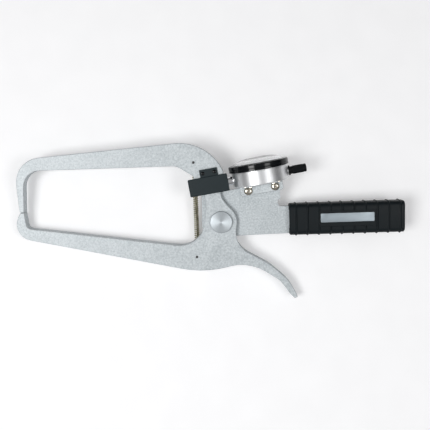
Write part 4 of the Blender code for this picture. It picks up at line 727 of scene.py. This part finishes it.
def dress_grip():
    """The rubber sleeve with rounded ribs, rounded ends and a sunken panel for the plate."""
    stations = [(level, RIB_HEIGHT + inset) for level, inset in GRIP_FRONT_ROUND]
    for rib in range(RIB_COUNT):
        middle = RIB_FIRST + rib * RIB_PITCH
        for share in RIB_SECTION_SHARES:
            lift = 0.5 + 0.5 * math.cos(math.pi * share)
            stations.append((middle + share * RIB_HALF_WIDTH, RIB_HEIGHT * (1 - lift**RIB_FULLNESS)))
    stations += [(GRIP_LENGTH - back, RIB_HEIGHT + inset) for back, inset in GRIP_REAR_ROUND]
    body = loft([grip_row(inset, level) for level, inset in stations])
    left = GRIP_START + PANEL_START
    face = GRIP_CENTRE + GRIP_THICKNESS / 2
    panel = box_outline(left, -PANEL_HEIGHT / 2, left + PANEL_LENGTH, PANEL_HEIGHT / 2, PANEL_CORNER)
    floor = face - RIB_HEIGHT - PANEL_DEPTH
    mesh = carve(body, slab(panel, floor, face + OVERRUN))
    piece("grip_rubber", mesh, "black_rubber", "frame", ["grip_sleeve"])
    start, low, seat = left + LABEL_MARGIN, LABEL_RISE - LABEL_HEIGHT / 2, floor + SEAT_GAP
    outline = box_outline(start, low, start + LABEL_LENGTH, low + LABEL_HEIGHT, LABEL_CORNER)
    plate = slab(outline, seat, seat + LABEL_THICKNESS, LABEL_BEVEL)
    piece("bare_label", plate, "label_alloy", "frame", ["label_plate"])


# The screws


def domed_screw(name, node, place, dome, cross, finish="nickel"):
    """A domed head with a cross recess, over a plain shank."""
    radius, height, shank = dome["radius"], dome["height"], dome["shank"]
    angles = [math.radians(DOME_STEP * step) for step in range(DOME_STEPS, 0, -1)]
    profile = [(0, dome["foot"]), (shank, dome["foot"]), (shank, 0), (radius, 0)]
    for angle in angles:
        lift = DOME_EDGE_SHARE + (1 - DOME_EDGE_SHARE) * math.cos(angle)
        profile.append((radius * math.sin(angle), height * lift))
    profile.append((0, height))
    mesh = turned(profile, 40)
    length, width, depth = cross
    for a, b in ((length / 2, width / 2), (width / 2, length / 2)):
        outline = box_outline(-a, -b, a, b, width * CROSS_CORNER_SHARE)
        mesh = carve(mesh, slab(outline, height - depth, height + OVERRUN))
    piece(name, mesh, finish, "frame", [node], place)


def dress_screws():
    """Two nickel screws through the bracket and two small black ones through the hood's tab."""
    seat = LAP_REAR + SEAT_GAP + BRACKET_THICKNESS + FIT_GAP
    tab = PLUNGER_OFFSET + HOOD_HALF_HEIGHT + HOOD_SCREW_RISE
    for index, side in enumerate((-1, 1)):
        number = index + 1
        spot = along(BRACKET_SCREW_STATION + side * BRACKET_SCREW_SPREAD, BRACKET_SCREW_OFFSET)
        place = Matrix.Translation((*spot, seat)) @ Matrix.Rotation(BRACKET_SCREW_TURNS[index], 4, "Z")
        domed_screw(f"bracket_dome_{number}", f"bracket_screw_{number}", place, BRACKET_DOME, BRACKET_CROSS)
        spot = along(HOOD_SCREW_STATION + side * HOOD_SCREW_SPREAD, tab)
        place = Matrix.Translation((*spot, HOOD_SCREW_LEVEL)) @ Matrix.Rotation(HOOD_SCREW_TURNS[index], 4, "Z")
        domed_screw(f"hood_dome_{number}", f"hood_screw_{number}", place, HOOD_DOME, HOOD_CROSS, "black_gloss")


# The dial gauge


def dress_case():
    """The spun case and its back, the stem and the knurled cap over the plunger's rear end."""
    case = [(CASE_BACK_BORE, 0, 0), (CASE_RADIUS, 0, CASE_BACK_ROUND), (CASE_RADIUS, CASE_SHOULDER, CASE_ROUND)]
    case += [(CASE_NECK_RADIUS, CASE_SHOULDER, 0), (CASE_NECK_RADIUS, CASE_NECK_TOP, 0)]
    case += [(CASE_BORE, CASE_NECK_TOP, 0), (CASE_BORE, CASE_LEDGE[0], 0), (CASE_BACK_BORE, CASE_LEDGE[1], 0)]
    piece("spun_case", turned(rounded(case), 128, ring=True), SPUN, "frame", ["gauge_case"], GAUGE)
    field, step = BACK_FIELD_RADII
    back = [(0, 0, 0), (field, 0, CASE_ROUND), (step, BACK_STEP, CASE_ROUND), (BACK_RADIUS, BACK_STEP, BACK_STEP)]
    back += [(BACK_RADIUS, BACK_THICKNESS, BACK_RIM_ROUND), (0, BACK_THICKNESS, 0)]
    mesh = turned(rounded(back, closed=False), 96)
    piece("case_back_plate", mesh, SPUN, "frame", ["case_back"], GAUGE)
    stem = [(STEM_BORE, STEM_START, STEM_ROUND / 2), (STEM_RADIUS, STEM_START, STEM_ROUND)]
    stem += [(STEM_RADIUS, STEM_END, 0), (STEM_BORE, STEM_END, 0)]
    piece("stem_tube", turned(rounded(stem), 64, ring=True), "chrome", "frame", ["stem"], PLUNGER_AXIS)
    low, high = CAP_KNURL_STATIONS[0] - FIT_GAP, CAP_KNURL_STATIONS[-1] + FIT_GAP
    mesh = turned(cap_profile(), 96, knurl=(low, high, CAP_KNURL_DEPTH))
    piece("knurled_cap", mesh, "black_gloss", "frame", ["plunger_cap"], PLUNGER_AXIS)


def cap_profile():
    """The cap's outline from the case outwards: flange, neck, knurled sleeve, waist and rounded end."""
    corners = [(0, CAP_START, 0), (CAP_BORE, CAP_START, 0), (CAP_FLANGE_RADIUS, CAP_START, CASE_ROUND)]
    corners += [(CAP_FLANGE_RADIUS, CAP_FLANGE_END, CASE_ROUND), (CAP_NECK_RADIUS, CAP_FLANGE_END, CAP_STEP / 2)]
    corners += [(CAP_NECK_RADIUS, CAP_NECK_END, CAP_STEP / 2)]
    corners += [(CAP_RADIUS, station, 0) for station in CAP_KNURL_STATIONS]
    corners += [(CAP_WAIST_RADIUS, CAP_KNURL_STATIONS[-1] + CAP_STEP, CAP_STEP / 2)]
    corners += [(CAP_RADIUS, CAP_END, CAP_END_ROUND), (0, CAP_END, 0)]
    return rounded(corners, closed=False)


def dress_bezel():
    """The black bezel with a groove round it, and the domed crystal that it holds."""
    below, floor_low, floor_high, above = BEZEL_GROOVE_LEVELS
    ring = [(BEZEL_BORE, BEZEL_BOTTOM, 0), (BEZEL_RADIUS, BEZEL_BOTTOM, BEZEL_ROUND)]
    ring += [(BEZEL_RADIUS, below, BEZEL_ROUND / 2), (BEZEL_GROOVE_RADIUS, floor_low, BEZEL_ROUND / 4)]
    ring += [(BEZEL_GROOVE_RADIUS, floor_high, BEZEL_ROUND / 4), (BEZEL_RADIUS, above, BEZEL_ROUND / 2)]
    ring += [(BEZEL_RADIUS, BEZEL_TOP, BEZEL_TOP_ROUND), (BEZEL_OPENING, BEZEL_TOP, BEZEL_ROUND)]
    ring += [(BEZEL_OPENING, BEZEL_LEDGE, 0), (BEZEL_BORE, BEZEL_LEDGE, 0)]
    mesh = turned(rounded(ring), 128, ring=True)
    piece("gloss_bezel", mesh, "black_gloss", "bezel", ["bezel"], GAUGE)
    outer = dome_profile(CRYSTAL_RADIUS, CRYSTAL_PEAK)
    inner = dome_profile(CRYSTAL_RADIUS - CRYSTAL_WALL, CRYSTAL_PEAK - CRYSTAL_WALL)
    mesh = turned(outer + inner[::-1], 128, ring=True)
    piece("domed_crystal", mesh, "crystal_clear", "bezel", ["crystal"], GAUGE, CRYSTAL_SHARP)


def dome_profile(radius, peak):
    """One face of the crystal, from its foot up its wall and over its dome to its middle."""
    profile = [(radius, CRYSTAL_FOOT), (radius, CRYSTAL_SHOULDER)]
    for step in range(1, CRYSTAL_STEPS):
        share = step / CRYSTAL_STEPS * math.pi / 2
        bend, lift = math.cos(share) ** CRYSTAL_BEND_SHARE, math.sin(share) ** CRYSTAL_LIFT_SHARE
        profile.append((radius * bend, CRYSTAL_SHOULDER + (peak - CRYSTAL_SHOULDER) * lift))
    return profile + [(0, peak)]


def bar(mesh, centre, bearing, start, end, width):
    """A printed bar that stands a hair above a dial, from one radius to another at a bearing."""
    low, high = DIAL_TOP - MARK_SINK, DIAL_TOP + MARK_RISE
    out = Vector((math.cos(bearing), math.sin(bearing), 0))
    side = Vector((-out.y, out.x, 0)) * width / 2
    base = Vector((*centre, 0))
    corners = ((start, -side), (end, -side), (end, side), (start, side))
    lower = [base + out * reach + offset + Vector((0, 0, low)) for reach, offset in corners]
    bottom = [mesh.verts.new(point) for point in lower]
    top = [mesh.verts.new(point + Vector((0, 0, high - low))) for point in lower]
    mesh.faces.new(bottom[::-1])
    mesh.faces.new(top)
    for index in range(4):
        after = (index + 1) % 4
        mesh.faces.new((bottom[index], bottom[after], top[after], top[index]))


def numbers(mesh, words, centre, reach, size):
    """Upright figures round a dial, made solid from the built-in font."""
    for index, word in enumerate(words):
        bearing = math.pi / 2 - math.tau * index / len(words)
        curve = bpy.data.curves.new("figure", "FONT")
        curve.body = word
        curve.size = size
        curve.align_x = "CENTER"
        curve.align_y = "CENTER"
        curve.extrude = FIGURE_RISE
        obj = bpy.data.objects.new("figure", curve)
        data = obj.to_mesh()
        x, y = centre[0] + reach * math.cos(bearing), centre[1] + reach * math.sin(bearing)
        data.transform(Matrix.Translation((x, y, DIAL_TOP + FIGURE_RISE)))
        mesh.from_mesh(data)
        obj.to_mesh_clear()
        bpy.data.objects.remove(obj)
        bpy.data.curves.remove(curve)


def dress_dial():
    """Enamel faces with a hundred divisions on the turning ring and ten on the counter dial."""
    inner_round, foot_round, lip_round, rim_round = DIAL_ROUNDS
    ring = [(DIAL_INNER, DIAL_BOTTOM, 0), (DIAL_OUTER, DIAL_BOTTOM, 0), (DIAL_OUTER, DIAL_RIM_TOP, rim_round)]
    ring += [(DIAL_RIM_INNER, DIAL_RIM_TOP, lip_round), (DIAL_FIELD_RADIUS, DIAL_TOP, foot_round)]
    ring += [(DIAL_INNER, DIAL_TOP, inner_round)]
    mesh = turned(rounded(ring), 128, ring=True)
    piece("dial_ring_enamel", mesh, "dial_white", "bezel", ["dial_ring"], GAUGE)
    marks = bmesh.new()
    tenth, fifth, single = MARK_LENGTHS
    for step in range(100):
        length = tenth if step % 10 == 0 else fifth if step % 5 == 0 else single
        width = MARK_WIDTHS[0] if step % 10 == 0 else MARK_WIDTHS[1]
        bar(marks, (0, 0), math.tau * step / 100, MARK_REACH - length, MARK_REACH, width)
    numbers(marks, [str(n) for n in range(0, 100, 10)], (0, 0), FIGURE_REACH, FIGURE_SIZE)
    piece("dial_divisions", marks, "pointer_black", "bezel", (), GAUGE)
    counter = bmesh.new()
    for step in range(20):
        start = COUNTER_MARK_REACH - COUNTER_MARK_LENGTHS[step % 2]
        bar(counter, COUNTER_CENTRE, math.tau * step / 20, start, COUNTER_MARK_REACH, COUNTER_MARK_WIDTH)
    numbers(counter, [str(n) for n in range(10)], COUNTER_CENTRE, COUNTER_FIGURE_REACH, COUNTER_FIGURE_SIZE)
    piece("counter_divisions", counter, "pointer_black", "frame", (), GAUGE)


# Stage, lights and camera


def stage_floor():
    """A white table under the lowest points of the object, tilted to meet them."""
    normal = Vector(FLOOR_NORMAL).normalized()
    depth = min(normal.dot(v.co) for node in NODES.values() for v in node.data.vertices) - FLOOR_GAP
    across = normal.orthogonal().normalized()
    over = normal.cross(across)
    mesh = bmesh.new()
    signs = ((-1, -1), (1, -1), (1, 1), (-1, 1))
    spots = [normal * depth + (across * a + over * b) * FLOOR_HALF_SPAN for a, b in signs]
    mesh.faces.new([mesh.verts.new(spot) for spot in spots])
    obj = as_object("table", mesh)
    table = Finish("white_table", 0.55)
    cloud = table.noise(40, 3.0)
    table.done(table.ramp(cloud, ((0.3, (0.83, 0.83, 0.84)), (0.7, (0.86, 0.86, 0.87)))))
    path = table.node("ShaderNodeLightPath")
    seen = table.math("MAXIMUM", path.outputs["Is Camera Ray"], path.outputs["Is Glossy Ray"])
    seen = table.math("MAXIMUM", seen, path.outputs["Is Transmission Ray"])
    glow = table.math("MULTIPLY", seen, FLOOR_GLOW)
    table.tree.links.new(glow, table.shader.inputs["Emission Strength"])
    table.shader.inputs["Emission Color"].default_value = (1, 1, 1, 1)
    table.shader.inputs["Specular IOR Level"].default_value = 0.1
    obj.data.materials.append(table.material)


def lamp(name, place, width, height, power):
    """A soft rectangular lamp that looks at the middle of the frame."""
    light = bpy.data.lights.new(name, "AREA")
    light.shape = "RECTANGLE"
    light.size, light.size_y = width, height
    light.energy = power
    obj = bpy.data.objects.new(name, light)
    bpy.context.scene.collection.objects.link(obj)
    obj.location = place
    obj.rotation_euler = (-Vector(place)).to_track_quat("-Z", "Y").to_euler()


def light_scene():
    """A sky that brightens upwards, for the metals to reflect, and two soft lamps."""
    world = bpy.data.worlds.new("studio")
    bpy.context.scene.world = world
    world.use_nodes = True
    tree = world.node_tree
    back = tree.nodes["Background"]
    coords = tree.nodes.new("ShaderNodeTexCoord")
    parts = tree.nodes.new("ShaderNodeSeparateXYZ")
    ramp = tree.nodes.new("ShaderNodeValToRGB")
    tree.links.new(coords.outputs["Generated"], parts.inputs[0])
    tree.links.new(parts.outputs["Z"], ramp.inputs[0])
    tree.links.new(ramp.outputs[0], back.inputs["Color"])
    points = ramp.color_ramp.elements
    for stop in SKY_STOPS[1:-1]:
        points.new(stop)
    for point, level in zip(points, SKY_LEVELS):
        point.color = (level, level, SKY_BLUE * level, 1)
    back.inputs["Strength"].default_value = 1.0
    lamp("key_softbox", *KEY_LAMP)
    lamp("right_softbox", *RIGHT_LAMP)


def place_camera():
    """The photograph's view: nearly square to the front, a little from above and the right."""
    tilt, lean, roll = math.radians(CAMERA_TILT), math.radians(CAMERA_LEAN), math.radians(CAMERA_ROLL)
    behind = Vector((math.tan(lean), math.tan(tilt), 1)).normalized()
    right = Vector((0, 1, 0)).cross(behind).normalized()
    up = behind.cross(right)
    side = right * math.cos(roll) - up * math.sin(roll)
    head = right * math.sin(roll) + up * math.cos(roll)
    camera = bpy.data.objects.new("photo_camera", bpy.data.cameras.new("photo_camera"))
    bpy.context.scene.collection.objects.link(camera)
    matrix = Matrix((side, head, behind)).transposed().to_4x4()
    matrix.translation = Vector(CAMERA_AIM) + behind * CAMERA_DISTANCE
    camera.matrix_world = matrix
    camera.data.lens = CAMERA_LENS
    camera.data.sensor_width = CAMERA_SENSOR
    camera.data.clip_start = CAMERA_NEAR
    bpy.context.scene.camera = camera


def main():
    dress_nodes()
    dress_pivot()
    dress_spring_pins()
    dress_spring()
    dress_plunger_spring()
    dress_grip()
    dress_screws()
    dress_case()
    dress_bezel()
    dress_dial()
    stage_floor()
    light_scene()
    place_camera()
    bpy.context.scene.view_settings.view_transform = "Standard"


main()
